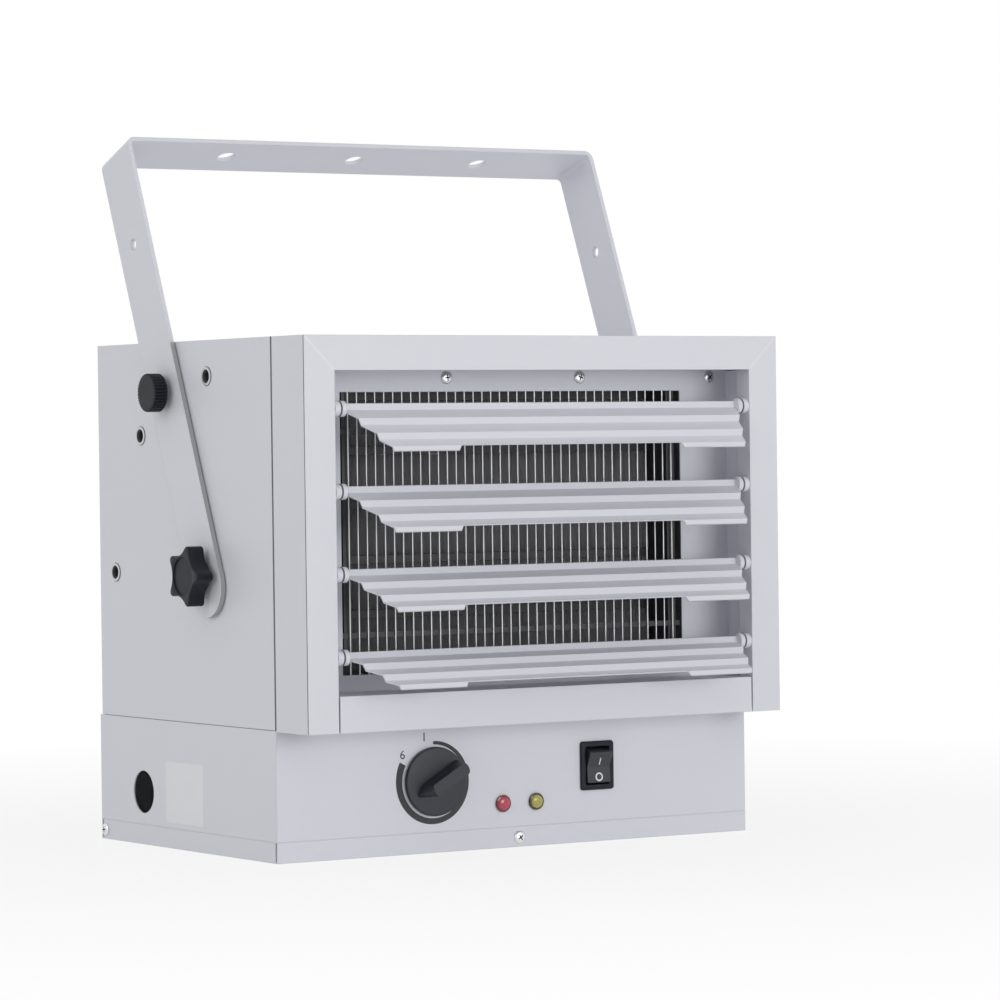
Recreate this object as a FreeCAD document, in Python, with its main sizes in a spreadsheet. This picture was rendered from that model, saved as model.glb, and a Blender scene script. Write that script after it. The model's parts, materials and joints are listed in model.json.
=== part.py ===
"""Garage heater with four hand-set louvers and a tilting U bracket, in millimetres.

X runs to the right, Y to the back and Z up. The origin is the middle of the base on the floor.
"""
import FreeCAD, Part
import math
import os
import re

import Sketcher

# Sheet metal, fits and cuts
sheet_wall = 1.0
seam = 0.3
fit = 0.1
run = 0.06
over = 2.0

# Cabinet
body_width = 361.0
body_height = 330.0
box_depth = 236.3
box_height = 83.2
rear_step = 2.9
tray_flange = 13.0
tray_corner = 1.6
panel_flange = 10.0

# Bezel, rail and the recessed baffle behind them
bezel_depth = 40.6
bezel_face = 22.0
bezel_drop = 1.0
hem_depth = 14.0
rail_rise = 22.3
rail_gap = 1.0
cheek_inset = 11.9
cheek_setback = 3.0
window_side = 27.5
window_sill = 32.8
window_head = 35.0

# Louvers: a rear flange, treads and risers down to a lip
louver_margin = 23.85
louver_back = 4.8
louver_end = 7.7
louver_sheet = 1.0
flange_rise = 3.0
tread = 12.2
tread_angle = 24.0
riser = 4.4
riser_angle = 80.0
mean_angle = 40.6
lip_tread = 9.7
lip_drop = 2.8
lip_inset = 17.2
lip_end = 50.6
notch_run = 4.0
notch_rise = 3.4
ear_radius = 5.0
pin_radius = 2.5
pin_short = 1.0
pin_tail = 3.0
top_louver_angle = 40.6
second_louver_angle = 38.0
third_louver_angle = 34.0
low_louver_angle = 28.4

# Guard wires and the heating core
wire_radius = 0.5
wire_pitch = 6.73
wire_reach = 4.0
strip_height = 3.4
strip_wall = 1.0
strip_rise = 64.5
core_back = 24.0
core_depth = 18.0
core_inset = 9.0
core_end = 6.0
bar_height = 5.0
fin_pitch = 8.0
fin_wall = 0.6

# Fan, motor and rear intake
collar_depth = 10.0
fan_gap = 4.0
fan_radius = 98.0
tip_gap = 5.0
hub_radius = 24.0
hub_depth = 22.0
blade_angle = 30.0
blade_wall = 2.0
blade_chord = 52.0
shaft_radius = 4.0
motor_radius = 42.0
motor_depth = 38.0
motor_gap = 5.0
strap_width = 60.0
strap_wall = 2.0
strap_foot = 18.0
strap_clear = 4.15
slot_width = 5.0
inner_slot_low = 18.0
inner_slot_high = 54.0
outer_slot_low = 62.0
outer_slot_high = 104.0

# Thermostat dial
dial_x = -65.0
dial_z = 45.8
dial_radius = 22.2
dial_base = 3.4
dial_chamfer = 0.8
dial_grip = 12.7
grip_width = 9.0
grip_ridge = 8.2
grip_tail = 16.8
grip_ridge_tail = 10.0
grip_nose = 21.3
grip_ridge_nose = 18.8
dial_gap = 0.6
stem_radius = 3.0
bush_radius = 4.8
stat_half = 18.0
stat_depth = 26.0
pointer_angle = 30.0

# Rocker switch
rocker_x = 60.5
rocker_z = 49.8
rocker_width = 25.6
rocker_height = 32.0
rocker_rim = 2.0
rocker_border = 3.6
rocker_body_depth = 24.0
paddle_angle = 10.0
paddle_well = 9.0
paddle_pivot = 2.0
paddle_pin = 1.0
paddle_share = 0.8
paddle_dish = 14.0
paddle_proud = 1.0
paddle_crest = 0.84
paddle_skirt = 1.0

# Lamps and the cable hole
lamp_x = 12.75
lamp_z = 28.8
lamp_radius = 5.6
lamp_proud = 3.2
lamp_stem = 4.4
lamp_depth = 20.0
lamp_share = 0.8
cable_y = 58.2
cable_z = 34.7
cable_radius = 14.0

# Wiring block, relay and over-heat limit
block_width = 70.0
block_depth = 26.0
block_height = 22.0
block_rib = 2.0
block_step = 8.0
relay_inset = 45.25
relay_width = 45.0
relay_depth = 60.0
relay_height = 50.0
relay_cap = 6.0
limit_radius = 11.0
limit_depth = 9.0
limit_x = 100.0
limit_drop = 16.5

# Tilting bracket
lean_angle = 22.5
index_radius = 127.8
index_back = 25.25
index_drop = 23.2
arm_gap = 1.2
strip = 3.0
strip_width = 40.0
arm_reach = 300.0
arm_tail = 27.5
bend = 3.0
bar_hole = 6.5
bar_hole_pitch = 100.0
arm_hole = 3.8
arm_hole_reach = 234.0

# Clamp knobs, lock screws and the nuts that they enter
star_radius = 20.0
star_depth = 11.6
star_hub = 10.0
star_hub_depth = 3.6
scallop = 16.7
scallop_reach = 30.7
star_cap = 12.5
star_cap_depth = 1.0
star_stud = 4.0
star_stud_past = 9.0
thumb_radius = 12.5
thumb_depth = 9.8
thumb_stud = 3.0
thumb_travel = 3.5
flute = 0.8
nut_flange = 6.5
nut_proud = 0.8
nut_body = 4.5
nut_depth = 11.0
pivot_flange = 8.0
pivot_body = 5.6

# Screws
screw_head = 4.2
screw_dome = 1.8
screw_shank = 1.9
screw_depth = 5.0
crown_share = 0.7
inner_screw = 51.3
outer_screw_inset = 25.5
baffle_screw_drop = 26.0
tray_screw_z = 6.2
tray_screw_back = 5.6

SIZES = {name: value for name, value in globals().items() if isinstance(value, float)}

# Places and sizes that follow from those above
FOLLOWING = {
    "rail_top": "box_height + rail_rise",
    "window_half": "body_width / 2 - bezel_face - window_side",
    "window_low": "box_height + window_sill",
    "window_high": "body_height - window_head",
    "cheek_half": "body_width / 2 - cheek_inset",
    "louver_half": "body_width / 2 - bezel_face - louver_end",
    "lip_half": "louver_half - lip_inset",
    "notch_half": "lip_half - lip_end",
    "core_half": "window_half - core_inset",
    "fan_centre": "(box_height + seam + body_height) / 2",
    "fan_stack": "fan_gap + hub_depth + motor_gap + motor_depth + fit + strap_wall",
    "shroud_place": "box_depth / 2 - rear_step - panel_flange - strap_clear - fan_stack",
    "pivot_y": "box_depth / 2 - index_back - index_radius",
    "pivot_z": "body_height - index_drop - index_radius",
    "relay_x": "body_width / 2 - relay_inset - relay_width",
    "limit_z": "body_height - limit_drop",
    "baffle_screw_z": "body_height - baffle_screw_drop",
    "outer_screw": "body_width / 2 - outer_screw_inset",
}

LOUVER_ANGLES = ("top_louver_angle", "second_louver_angle", "third_louver_angle", "low_louver_angle")
LOUVERS = len(LOUVER_ANGLES)
INDEX_ANGLES = (0.0, 22.5, 45.0, 90.0)
BAFFLE_SCREWS = ("-outer_screw", "-inner_screw", "inner_screw", "outer_screw")
STAR_LOBES = 5
FLUTES = 36
BLADES = 5
WIRE_SIDES = 8
HEX_SIDES = 6
PIN_SIDES = 16
FLUTE_SIDES = 4
CORE_BARS = 6
INNER_SLOTS = 18
OUTER_SLOTS = 36
BLOCK_RIBS = 5

HALF = "(body_width / 2)"
FRONT = "(-box_depth / 2)"
REAR = "(box_depth / 2)"
FACE = "(-box_depth / 2 - bezel_depth)"
CABINET_FRONT = "(-box_depth / 2 + seam)"
CABINET_REAR = "(box_depth / 2 - rear_step)"
CABINET_LOW = "(box_height + seam)"
OPENING = "(body_width / 2 - bezel_face)"
OPENING_TOP = "(body_height - bezel_face)"
INSIDE = "(body_width / 2 - sheet_wall - fit)"
BAFFLE_BACK = "(-box_depth / 2 + seam + sheet_wall)"
ARM_INNER = "(body_width / 2 + arm_gap)"
ARM_OUTER = "(body_width / 2 + arm_gap + strip)"


doc = FreeCAD.newDocument("GarageHeater")
sheet = doc.addObject("Spreadsheet::Sheet", "Sizes")
for row, (name, value) in enumerate(SIZES.items()):
    sheet.set("A%d" % (row + 1), str(value))
    sheet.setAlias("A%d" % (row + 1), name)
doc.recompute()
PIECES = []


def full(expression):
    """Points each size named in an expression at its cell in the sheet."""
    def cell(match):
        word = match.group(0)
        if word in FOLLOWING:
            return "(%s)" % full(FOLLOWING[word])
        return "Sizes." + word if word in SIZES else word
    return re.sub(r"[a-z_][a-z_0-9]*", cell, str(expression))


def bind(thing, **properties):
    """Binds properties of a document object to expressions."""
    for name, expression in properties.items():
        thing.setExpression(name, full(expression))


def place(thing, x=0, y=0, z=0):
    """Binds where a document object stands."""
    for axis, expression in zip("xyz", (x, y, z)):
        thing.setExpression("Placement.Base." + axis, full(expression))


def turn(thing, axis, degrees):
    """Turns a document object about its own origin, by a bound angle."""
    thing.Placement.Rotation = FreeCAD.Rotation(axis, 1.0)
    thing.setExpression("Placement.Rotation.Angle", full(degrees))


def box(x, y, z, length, width, height):
    """A block from its lowest corner."""
    thing = doc.addObject("Part::Box", "Block")
    bind(thing, Length=length, Width=width, Height=height)
    place(thing, x, y, z)
    return thing


def span(x0, x1, y0, y1, z0, z1):
    """A block between two corners."""
    sizes = ["(%s) - (%s)" % pair for pair in ((x1, x0), (y1, y0), (z1, z0))]
    return box(x0, y0, z0, *sizes)


AXES = {"x": (0, 1, 0), "y": (-1, 0, 0), "z": (0, 0, 1)}


def rod(axis, radius, x, y, z, length, top=None):
    """A cylinder, or a cone when it has a top radius, that starts at a point and runs along an axis."""
    thing = doc.addObject("Part::Cone" if top else "Part::Cylinder", "Round")
    if top:
        bind(thing, Radius1=radius, Radius2=top, Height=length)
    else:
        bind(thing, Radius=radius, Height=length)
    if axis != "z":
        thing.Placement.Rotation = FreeCAD.Rotation(FreeCAD.Vector(*AXES[axis]), 90)
    place(thing, x, y, z)
    return thing


def prism(axis, sides, radius, x, y, z, length):
    """A many-sided bar that starts at a point and runs along an axis."""
    thing = doc.addObject("Part::Prism", "Bar")
    thing.Polygon = sides
    bind(thing, Circumradius=radius, Height=length)
    if axis != "z":
        thing.Placement.Rotation = FreeCAD.Rotation(FreeCAD.Vector(*AXES[axis]), 90)
    place(thing, x, y, z)
    return thing


def join(things):
    """One solid of several that overlap or meet."""
    thing = doc.addObject("Part::MultiFuse", "Joined")
    thing.Shapes = things
    return thing


def group(things):
    """Separate solids in one object."""
    thing = doc.addObject("Part::Compound", "Group")
    thing.Links = things
    return thing


def cut(base, tools):
    """A solid less its cutters."""
    thing = doc.addObject("Part::Cut", "Cut")
    thing.Base = base
    thing.Tool = tools[0] if len(tools) == 1 else group(tools)
    return thing


def common(base, tool):
    """What two solids share."""
    thing = doc.addObject("Part::Common", "Shared")
    thing.Base = base
    thing.Tool = tool
    return thing


def keep(thing, label):
    """Marks a document object as a sub-part under its own name."""
    thing.Label = label
    PIECES.append(thing)
    return thing


def origin_plane(body, role):
    return next(item for item in body.Origin.OriginFeatures if item.Role == role)


def outline(body, role, points, name):
    """A closed sketch through points whose places are bound to the sheet."""
    sketch = body.newObject("Sketcher::SketchObject", name)
    sketch.AttachmentSupport = [(origin_plane(body, role), "")]
    sketch.MapMode = "FlatFace"
    now = [tuple(number(value) for value in point) for point in points]
    for index, start in enumerate(now):
        end = now[(index + 1) % len(now)]
        sketch.addGeometry(Part.LineSegment(FreeCAD.Vector(*start, 0), FreeCAD.Vector(*end, 0)))
    count = len(points)
    for index, point in enumerate(points):
        sketch.addConstraint(Sketcher.Constraint("Coincident", index, 2, (index + 1) % count, 1))
        for kind, value, expression in zip(("DistanceX", "DistanceY"), now[index], point):
            spot = sketch.addConstraint(Sketcher.Constraint(kind, -1, 1, index, 1, value))
            sketch.setExpression("Constraints[%d]" % spot, full(expression))
    return sketch


def number(expression):
    """The value that an expression has with the sizes as they stand."""
    return float(sheet.evalExpression(full("%s + 0" % expression)))


def padded(name, role, points, length):
    """A body whose outline is padded evenly to both sides of its plane."""
    body = doc.addObject("PartDesign::Body", name)
    pad = body.newObject("PartDesign::Pad", name + "_pad")
    pad.Profile = outline(body, role, points, name + "_outline")
    pad.Midplane = True
    bind(pad, Length=length)
    return body


def pocket(body, role, points, name):
    """Cuts an outline right through a body."""
    cutter = body.newObject("PartDesign::Pocket", name)
    cutter.Profile = outline(body, role, points, name + "_outline")
    cutter.Type = "ThroughAll"
    cutter.Midplane = True
    return cutter


def edges_where(shape, test):
    """Names of the straight edges whose middle point passes a test."""
    names = []
    for index, edge in enumerate(shape.Edges):
        middle = edge.valueAt((edge.FirstParameter + edge.LastParameter) / 2)
        if isinstance(edge.Curve, Part.Line) and test(middle, edge):
            names.append("Edge%d" % (index + 1))
    return names


def fillet(body, radius, names):
    """Rounds named edges of a body's last feature."""
    rounding = body.newObject("PartDesign::Fillet", "Rounding")
    rounding.Base = (body.Tip if body.Tip != rounding else rounding.BaseFeature, names)
    bind(rounding, Radius=radius)
    return rounding


def side_rod(side, radius, start, length, y, z):
    """A cylinder along X that starts at a distance from the middle plane and runs inwards."""
    at = "%d * (%s)" % (side, start)
    return rod("x", radius, at if side < 0 else "(%s) - (%s)" % (at, length), y, z, length)


def index_place(angle):
    """Y and Z of an index nut, at an angle from upright about the pivot."""
    y = "pivot_y + index_radius * sin(%s)" % angle
    z = "pivot_z + index_radius * cos(%s)" % angle
    return y, z


# Cabinet
def make_cabinet():
    shell = span("-" + HALF, HALF, CABINET_FRONT, CABINET_REAR, CABINET_LOW, "body_height")
    inside = span("sheet_wall - " + HALF, HALF + " - sheet_wall", CABINET_FRONT + " - over",
                  CABINET_REAR + " + over", CABINET_LOW + " - over", "body_height - sheet_wall")
    holes = []
    for side in (-1, 1):
        start = "-%s - over" % HALF if side < 0 else HALF + " - sheet_wall - over"
        places = [("nut_body",) + index_place(angle) for angle in INDEX_ANGLES]
        for body, y, z in places + [("pivot_body", "pivot_y", "pivot_z")]:
            holes.append(prism("x", HEX_SIDES, body + " + fit", start, y, z, "sheet_wall + 2 * over"))
    keep(cut(shell, [inside] + holes), "cabinet_shell")


def rear_slots(start, end, count):
    """Radial cutters round the fan's centre, worked out for any count."""
    cutters = []
    for index in range(count):
        angle = 360.0 * index / count
        slot = doc.addObject("Part::Box", "Slot")
        bind(slot, Length="%s - %s" % (end, start), Width="sheet_wall + 2 * over", Height="slot_width")
        slot.Placement.Rotation = FreeCAD.Rotation(FreeCAD.Vector(0, 1, 0), angle)
        place(slot, "%s * cos(%s) - slot_width / 2 * sin(%s)" % (start, angle, angle),
              CABINET_REAR + " - sheet_wall - over",
              "fan_centre - %s * sin(%s) - slot_width / 2 * cos(%s)" % (start, angle, angle))
        cutters.append(slot)
    return cutters


def make_rear():
    low, high = CABINET_LOW + " + fit", "body_height - sheet_wall - fit"
    pan = span("-" + INSIDE, INSIDE, CABINET_REAR + " - panel_flange", CABINET_REAR, low, high)
    inside = span("sheet_wall - " + INSIDE, INSIDE + " - sheet_wall", CABINET_REAR + " - panel_flange - over",
                  CABINET_REAR + " - sheet_wall", low + " + sheet_wall", high + " - sheet_wall")
    cutters = rear_slots("inner_slot_low", "inner_slot_high", INNER_SLOTS)
    cutters += rear_slots("outer_slot_low", "outer_slot_high", OUTER_SLOTS)
    keep(cut(pan, [inside] + cutters), "rear_panel")


def make_lower_box():
    low, high = "tray_flange + seam", "box_height"
    shell = span("-" + HALF, HALF, FRONT, REAR, low, high)
    inside = span("sheet_wall - " + HALF, HALF + " - sheet_wall", FRONT + " + sheet_wall", REAR + " + over",
                  low + " - over", high + " + over")
    through, start = "sheet_wall + 2 * over", FRONT + " - over"
    holes = [rod("y", "bush_radius + fit", "dial_x", start, "dial_z", through)]
    for side in (-1, 1):
        holes.append(rod("y", "lamp_stem + fit", "%d * lamp_x" % side, start, "lamp_z", through))
    half_width = "(rocker_width / 2 - rocker_rim + fit)"
    half_height = "(rocker_height / 2 - rocker_rim + fit)"
    holes.append(span("rocker_x - " + half_width, "rocker_x + " + half_width, start,
                      FRONT + " + sheet_wall + over", "rocker_z - " + half_height,
                      "rocker_z + " + half_height))
    holes.append(rod("x", "cable_radius", "-%s - over" % HALF, "cable_y", "cable_z", through))
    keep(cut(shell, [inside] + holes), "control_box")

    cover = span("-" + INSIDE, INSIDE, REAR + " - sheet_wall", REAR, low, high)
    keep(cover, "control_rear_cover")
    divider = span("-" + INSIDE, INSIDE, FRONT + " + sheet_wall + fit", REAR + " - sheet_wall - fit",
                   "box_height - panel_flange", high)
    under = span("sheet_wall - " + INSIDE, INSIDE + " - sheet_wall", FRONT + " + 2 * sheet_wall + fit",
                 REAR + " - 2 * sheet_wall - fit", "box_height - panel_flange - over",
                 "box_height - sheet_wall")
    keep(cut(divider, [under]), "bulkhead")

    tray = span("-" + HALF, HALF, FRONT, REAR, 0, "tray_flange")
    hollow = span("sheet_wall - " + HALF, HALF + " - sheet_wall", FRONT + " + sheet_wall",
                  REAR + " - sheet_wall", "sheet_wall", "tray_flange + over")
    slits = []
    for side in (-1, 1):
        x = "-%s - over" % HALF if side < 0 else HALF + " - sheet_wall"
        for y in (FRONT + " + sheet_wall", REAR + " - sheet_wall - tray_corner"):
            slits.append(box(x, y, "sheet_wall", "sheet_wall + over", "tray_corner", "tray_flange"))
    through, side_y = "sheet_wall + 2 * over", REAR + " - tray_screw_back"
    holes = [rod("y", "screw_shank + fit", 0, FRONT + " - over", "tray_screw_z", through)]
    for side in (-1, 1):
        holes.append(side_rod(side, "screw_shank + fit", HALF + " + over", through, side_y, "tray_screw_z"))
    keep(cut(tray, [hollow] + slits + holes), "bottom_tray")


# Front of the cabinet
def make_bezel():
    low = CABINET_LOW + " - bezel_drop"
    frame = span("-" + HALF, HALF, FACE, FRONT, low, "body_height")
    hollow = span("sheet_wall - " + HALF, HALF + " - sheet_wall", FACE + " + sheet_wall", FRONT + " + over",
                  low + " - over", "body_height - sheet_wall")
    opening = span("-" + OPENING, OPENING, FACE + " - over", FACE + " + sheet_wall + over", low + " - over",
                   OPENING_TOP)
    pieces = [cut(frame, [hollow, opening])]
    for side in (-1, 1):
        x0 = OPENING if side > 0 else "-%s - sheet_wall" % OPENING
        hem = span(x0, "(%s) + sheet_wall" % x0, FACE, FACE + " + hem_depth", "rail_top", OPENING_TOP)
        holes = [rod("x", "pin_radius + run", "(%s) - over" % x0, FACE + " + louver_back", louver_height(row),
                     "sheet_wall + 2 * over") for row in range(LOUVERS)]
        pieces.append(cut(hem, holes))
    keep(join(pieces), "front_bezel")

    end = OPENING + " - rail_gap"
    rail = span("-(%s)" % end, end, FACE, FRONT + " - seam", low, "rail_top")
    channel = span("-(%s) - over" % end, end + " + over", FACE + " + sheet_wall", FRONT,
                   low + " + sheet_wall", "rail_top - sheet_wall")
    keep(cut(rail, [channel]), "bottom_rail")


def make_baffle():
    """The recessed front plate, with its outlet window and two forward cheeks."""
    low, high = CABINET_LOW + " + fit", "body_height - sheet_wall - fit"
    plate = span("-" + INSIDE, INSIDE, CABINET_FRONT, BAFFLE_BACK, low, high)
    window = span("-window_half", "window_half", CABINET_FRONT + " - over", BAFFLE_BACK + " + over",
                  "window_low", "window_high")
    holes = [rod("y", "screw_shank + fit", x, CABINET_FRONT + " - over", "baffle_screw_z",
                 "sheet_wall + 2 * over") for x in BAFFLE_SCREWS]
    pieces = [cut(plate, [window] + holes)]
    for side in (-1, 1):
        x0 = "cheek_half" if side > 0 else "-cheek_half - sheet_wall"
        pieces.append(span(x0, "%s + sheet_wall" % x0, FACE + " + sheet_wall + cheek_setback", BAFFLE_BACK,
                           "rail_top + seam", OPENING_TOP))
    keep(join(pieces), "front_baffle")


def louver_height(row):
    """Z of a louver's pivot: the rows share the opening evenly, with a margin above and below."""
    low, high = "(rail_top + louver_margin)", "(%s - louver_margin)" % OPENING_TOP
    return "%s - %d * (%s - %s) / %d" % (high, row, high, low, LOUVERS - 1)


def stair(side):
    """Corners of one face of the blade: the rear flange on the pivot, then steps down to the lip."""
    down, flat = "(riser_angle - mean_angle)", "(tread_angle - mean_angle)"
    y, z = "flange_rise * cos(%s)" % down, "flange_rise * sin(%s)" % down
    points = [(y, z)]
    for length, slope in (("riser", down), ("tread", flat), ("riser", down), ("tread", flat), ("riser", down),
                          ("lip_tread", flat), ("lip_drop", down)):
        y += " - %s * cos(%s)" % (length, slope)
        z += " - %s * sin(%s)" % (length, slope)
        points.append((y, z))
    return [("(%s)" % y, "(%s) + (%d * louver_sheet / 2)" % (z, side)) for y, z in points]


def make_louver(row):
    """A stepped blade with tapered ends, a relieved lip and a pivot ear at each end."""
    profile = stair(1) + stair(-1)[::-1]
    body = padded("blade_%d" % (row + 1), "YZ_Plane", profile, "2 * louver_half")
    tip = stair(1)[-1][0]
    far = tip + " - over"
    for side in (-1, 1):
        half, lip, past = ("%d * (%s)" % (side, x) for x in ("louver_half", "lip_half", "louver_half + over"))
        wedge = [(half, "ear_radius"), (half, 0), (lip, tip), (lip, far), (past, far), (past, "ear_radius")]
        pocket(body, "XY_Plane", wedge, "end_%d" % (side + 1))
    notch = [("-notch_half", tip + " + notch_rise"), ("notch_half", tip + " + notch_rise"),
             ("notch_half + notch_run", far), ("-notch_half - notch_run", far)]
    pocket(body, "XY_Plane", notch, "lip_relief")
    start = OPENING + " - seam"
    ears, bores = [], []
    for side in (-1, 1):
        ears.append(side_rod(side, "ear_radius", start, start + " - louver_half + louver_sheet", 0, 0))
        bores.append(side_rod(side, "pin_radius + run", OPENING, OPENING + " - louver_half", 0, 0))
    louver = cut(join([body] + ears), bores)
    turn(louver, FreeCAD.Vector(1, 0, 0), LOUVER_ANGLES[row])
    place(louver, 0, FACE + " + louver_back", louver_height(row))
    keep(louver, "louver_%d" % (row + 1))


def make_louver_pins():
    """Pins from the bezel's hems into the louver ears."""
    length = OPENING + " + sheet_wall + pin_tail - louver_half - pin_short"
    pins = []
    for row in range(LOUVERS):
        for side in (-1, 1):
            start = "-%s - sheet_wall - pin_tail" % OPENING if side < 0 else "louver_half + pin_short"
            pins.append(prism("x", PIN_SIDES, "pin_radius", start, FACE + " + louver_back",
                              louver_height(row), length))
    keep(group(pins), "louver_pins")


def make_guard():
    """Upright outlet wires on four cross strips."""
    wires = []
    count = int(2 * number("window_half") / wire_pitch)
    for index in range(count):
        x = "(%s) * wire_pitch" % (index - (count - 1) / 2)
        wires.append(prism("z", WIRE_SIDES, "wire_radius", x, BAFFLE_BACK + " + wire_radius + fit",
                           "window_low - wire_reach", "window_high - window_low + 2 * wire_reach"))
    y = BAFFLE_BACK + " + 2 * wire_radius + 2 * fit"
    middle = "(window_low + window_high - strip_height) / 2"
    for z in ("window_low - wire_reach", middle + " - strip_rise", middle + " + strip_rise",
              "window_high + wire_reach - strip_height"):
        wires.append(box("-window_half - wire_reach", y, z, "2 * window_half + 2 * wire_reach", "strip_wall",
                         "strip_height"))
    keep(group(wires), "outlet_guard")


def fin_strip(low, high):
    """A folded fin ribbon that fills the space between two bars of the core."""
    half, wall = number("core_half"), fin_wall
    folds = int(2 * half / fin_pitch) * 2
    step = 2 * half / folds
    upper, lower = [], []
    for index in range(folds + 1):
        z = low + wall if index % 2 else high - wall
        x = -half + index * step
        upper.append(FreeCAD.Vector(x, 0, z + wall))
        lower.append(FreeCAD.Vector(x, 0, z - wall))
    face = Part.Face(Part.makePolygon(upper + lower[::-1] + upper[:1]))
    return face.extrude(FreeCAD.Vector(0, core_depth, 0))


def make_core():
    """Heating bars, folded fins between them and the two end channels that hold them."""
    y = BAFFLE_BACK + " + core_back"
    pitch = "((window_high - window_low - bar_height) / %d)" % (CORE_BARS - 1)
    bars = [box("-core_half", y, "window_low + %d * %s" % (row, pitch), "2 * core_half", "core_depth",
                "bar_height") for row in range(CORE_BARS)]
    keep(group(bars), "heating_bars")
    step = number(pitch)
    strips = []
    for row in range(CORE_BARS - 1):
        low = number("window_low") + row * step + bar_height + fit
        strips.append(fin_strip(low, low + step - bar_height - 2 * fit))
    fins = doc.addObject("Part::Feature", "Fins")
    fins.Shape = Part.makeCompound(strips)
    place(fins, 0, y, 0)
    keep(fins, "heating_fins")
    for side, label in ((-1, "core_channel_left"), (1, "core_channel_right")):
        near = "%d * (core_half + fit)" % side
        far = "%d * (core_half + core_end)" % side
        x0, x1 = (near, far) if side > 0 else (far, near)
        channel = span(x0, x1, BAFFLE_BACK + " + 2 * wire_radius + 3 * fit + strip_wall", y + " + core_depth",
                       "window_low - wire_reach", "window_high + wire_reach")
        keep(channel, label)


# Fan and motor
def make_fan():
    y = "shroud_place"
    plate = span("-" + INSIDE, INSIDE, y, y + " + sheet_wall", CABINET_LOW + " + fit",
                 "body_height - sheet_wall - fit")
    collar = rod("y", "fan_radius + tip_gap + sheet_wall", 0, y, "fan_centre", "collar_depth")
    orifice = rod("y", "fan_radius + tip_gap", 0, y + " - over", "fan_centre", "collar_depth + 2 * over")
    keep(cut(join([plate, collar]), [orifice]), "fan_shroud")

    start = "shroud_place + fan_gap"
    blades = []
    for index in range(BLADES):
        blade = doc.addObject("Part::Box", "Blade")
        bind(blade, Length="fan_radius + over", Width="blade_wall", Height="blade_chord")
        pitch = FreeCAD.Rotation(FreeCAD.Vector(1, 0, 0), blade_angle - 90)
        around = FreeCAD.Rotation(FreeCAD.Vector(0, 1, 0), 360.0 * index / BLADES)
        blade.Placement.Rotation = around * pitch
        centre = around * pitch * FreeCAD.Vector(0, blade_wall / 2, blade_chord / 2)
        place(blade, -centre.x, "%s + hub_depth / 2 - %s" % (start, centre.y), "fan_centre - %s" % centre.z)
        blades.append(blade)
    sweep = rod("y", "fan_radius", 0, start + " - over", "fan_centre", "hub_depth + 2 * over")
    hub = rod("y", "hub_radius", 0, start, "fan_centre", "hub_depth")
    rotor = join([hub, common(group(blades), sweep)])
    bore = rod("y", "shaft_radius + fit", 0, start + " - over", "fan_centre", "hub_depth + 2 * over")
    keep(cut(rotor, [bore]), "fan_rotor")
    length = "hub_depth + motor_gap + motor_depth / 2"
    keep(rod("y", "shaft_radius", 0, start, "fan_centre", length), "fan_shaft")

    back = start + " + hub_depth + motor_gap"
    can = rod("y", "motor_radius", 0, back, "fan_centre", "motor_depth")
    bore = rod("y", "shaft_radius + run", 0, back + " - over", "fan_centre", "motor_depth / 2 + over + fit")
    keep(cut(can, [bore]), "fan_motor")
    y = back + " + motor_depth + fit"
    strap = span("-strap_width / 2", "strap_width / 2", y, y + " + strap_wall", CABINET_LOW + " + fit",
                 "body_height - sheet_wall - fit")
    feet = [box("-strap_width / 2", y + " - strap_foot", z, "strap_width", "strap_foot + strap_wall",
                "strap_wall")
            for z in (CABINET_LOW + " + fit", "body_height - sheet_wall - fit - strap_wall")]
    keep(join([strap] + feet), "motor_strap")


# Controls
def make_dial():
    """The thermostat's knob, a chamfered disc with a wedge-shaped grip, and the body behind it."""
    rim = rod("y", "dial_radius - dial_chamfer", 0, 0, 0, "dial_chamfer", "dial_radius")
    disc = rod("y", "dial_radius", 0, "dial_chamfer", 0, "dial_base - dial_chamfer")
    grip = doc.addObject("Part::Wedge", "Grip")
    bind(grip, Xmin="-grip_tail", Xmax="grip_nose", Zmin="-grip_width / 2", Zmax="grip_width / 2",
         X2min="-grip_ridge_tail", X2max="grip_ridge_nose", Z2min="-grip_ridge / 2", Z2max="grip_ridge / 2",
         Ymin="0", Ymax="dial_grip + dial_chamfer")
    grip.Placement.Rotation = FreeCAD.Rotation(FreeCAD.Vector(1, 0, 0), 180)
    place(grip, 0, "dial_chamfer", 0)
    stem = rod("y", "stem_radius", 0, "dial_chamfer", 0,
               "dial_base - dial_chamfer + dial_gap + stat_depth / 2")
    knob = join([rim, disc, grip, stem])
    turn(knob, FreeCAD.Vector(0, 1, 0), "-pointer_angle")
    place(knob, "dial_x", FRONT + " - dial_gap - dial_base", "dial_z")
    keep(knob, "thermostat_knob")

    inner = FRONT + " + sheet_wall + fit"
    case = span("dial_x - stat_half", "dial_x + stat_half", inner, inner + " + stat_depth",
                "dial_z - stat_half", "dial_z + stat_half")
    bush = rod("y", "bush_radius", "dial_x", FRONT, "dial_z", "stat_depth / 2")
    bore = rod("y", "stem_radius + run", "dial_x", FRONT + " - over", "dial_z", "stat_depth / 2 + 2 * over")
    keep(cut(join([case, bush]), [bore]), "thermostat_body")


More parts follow.
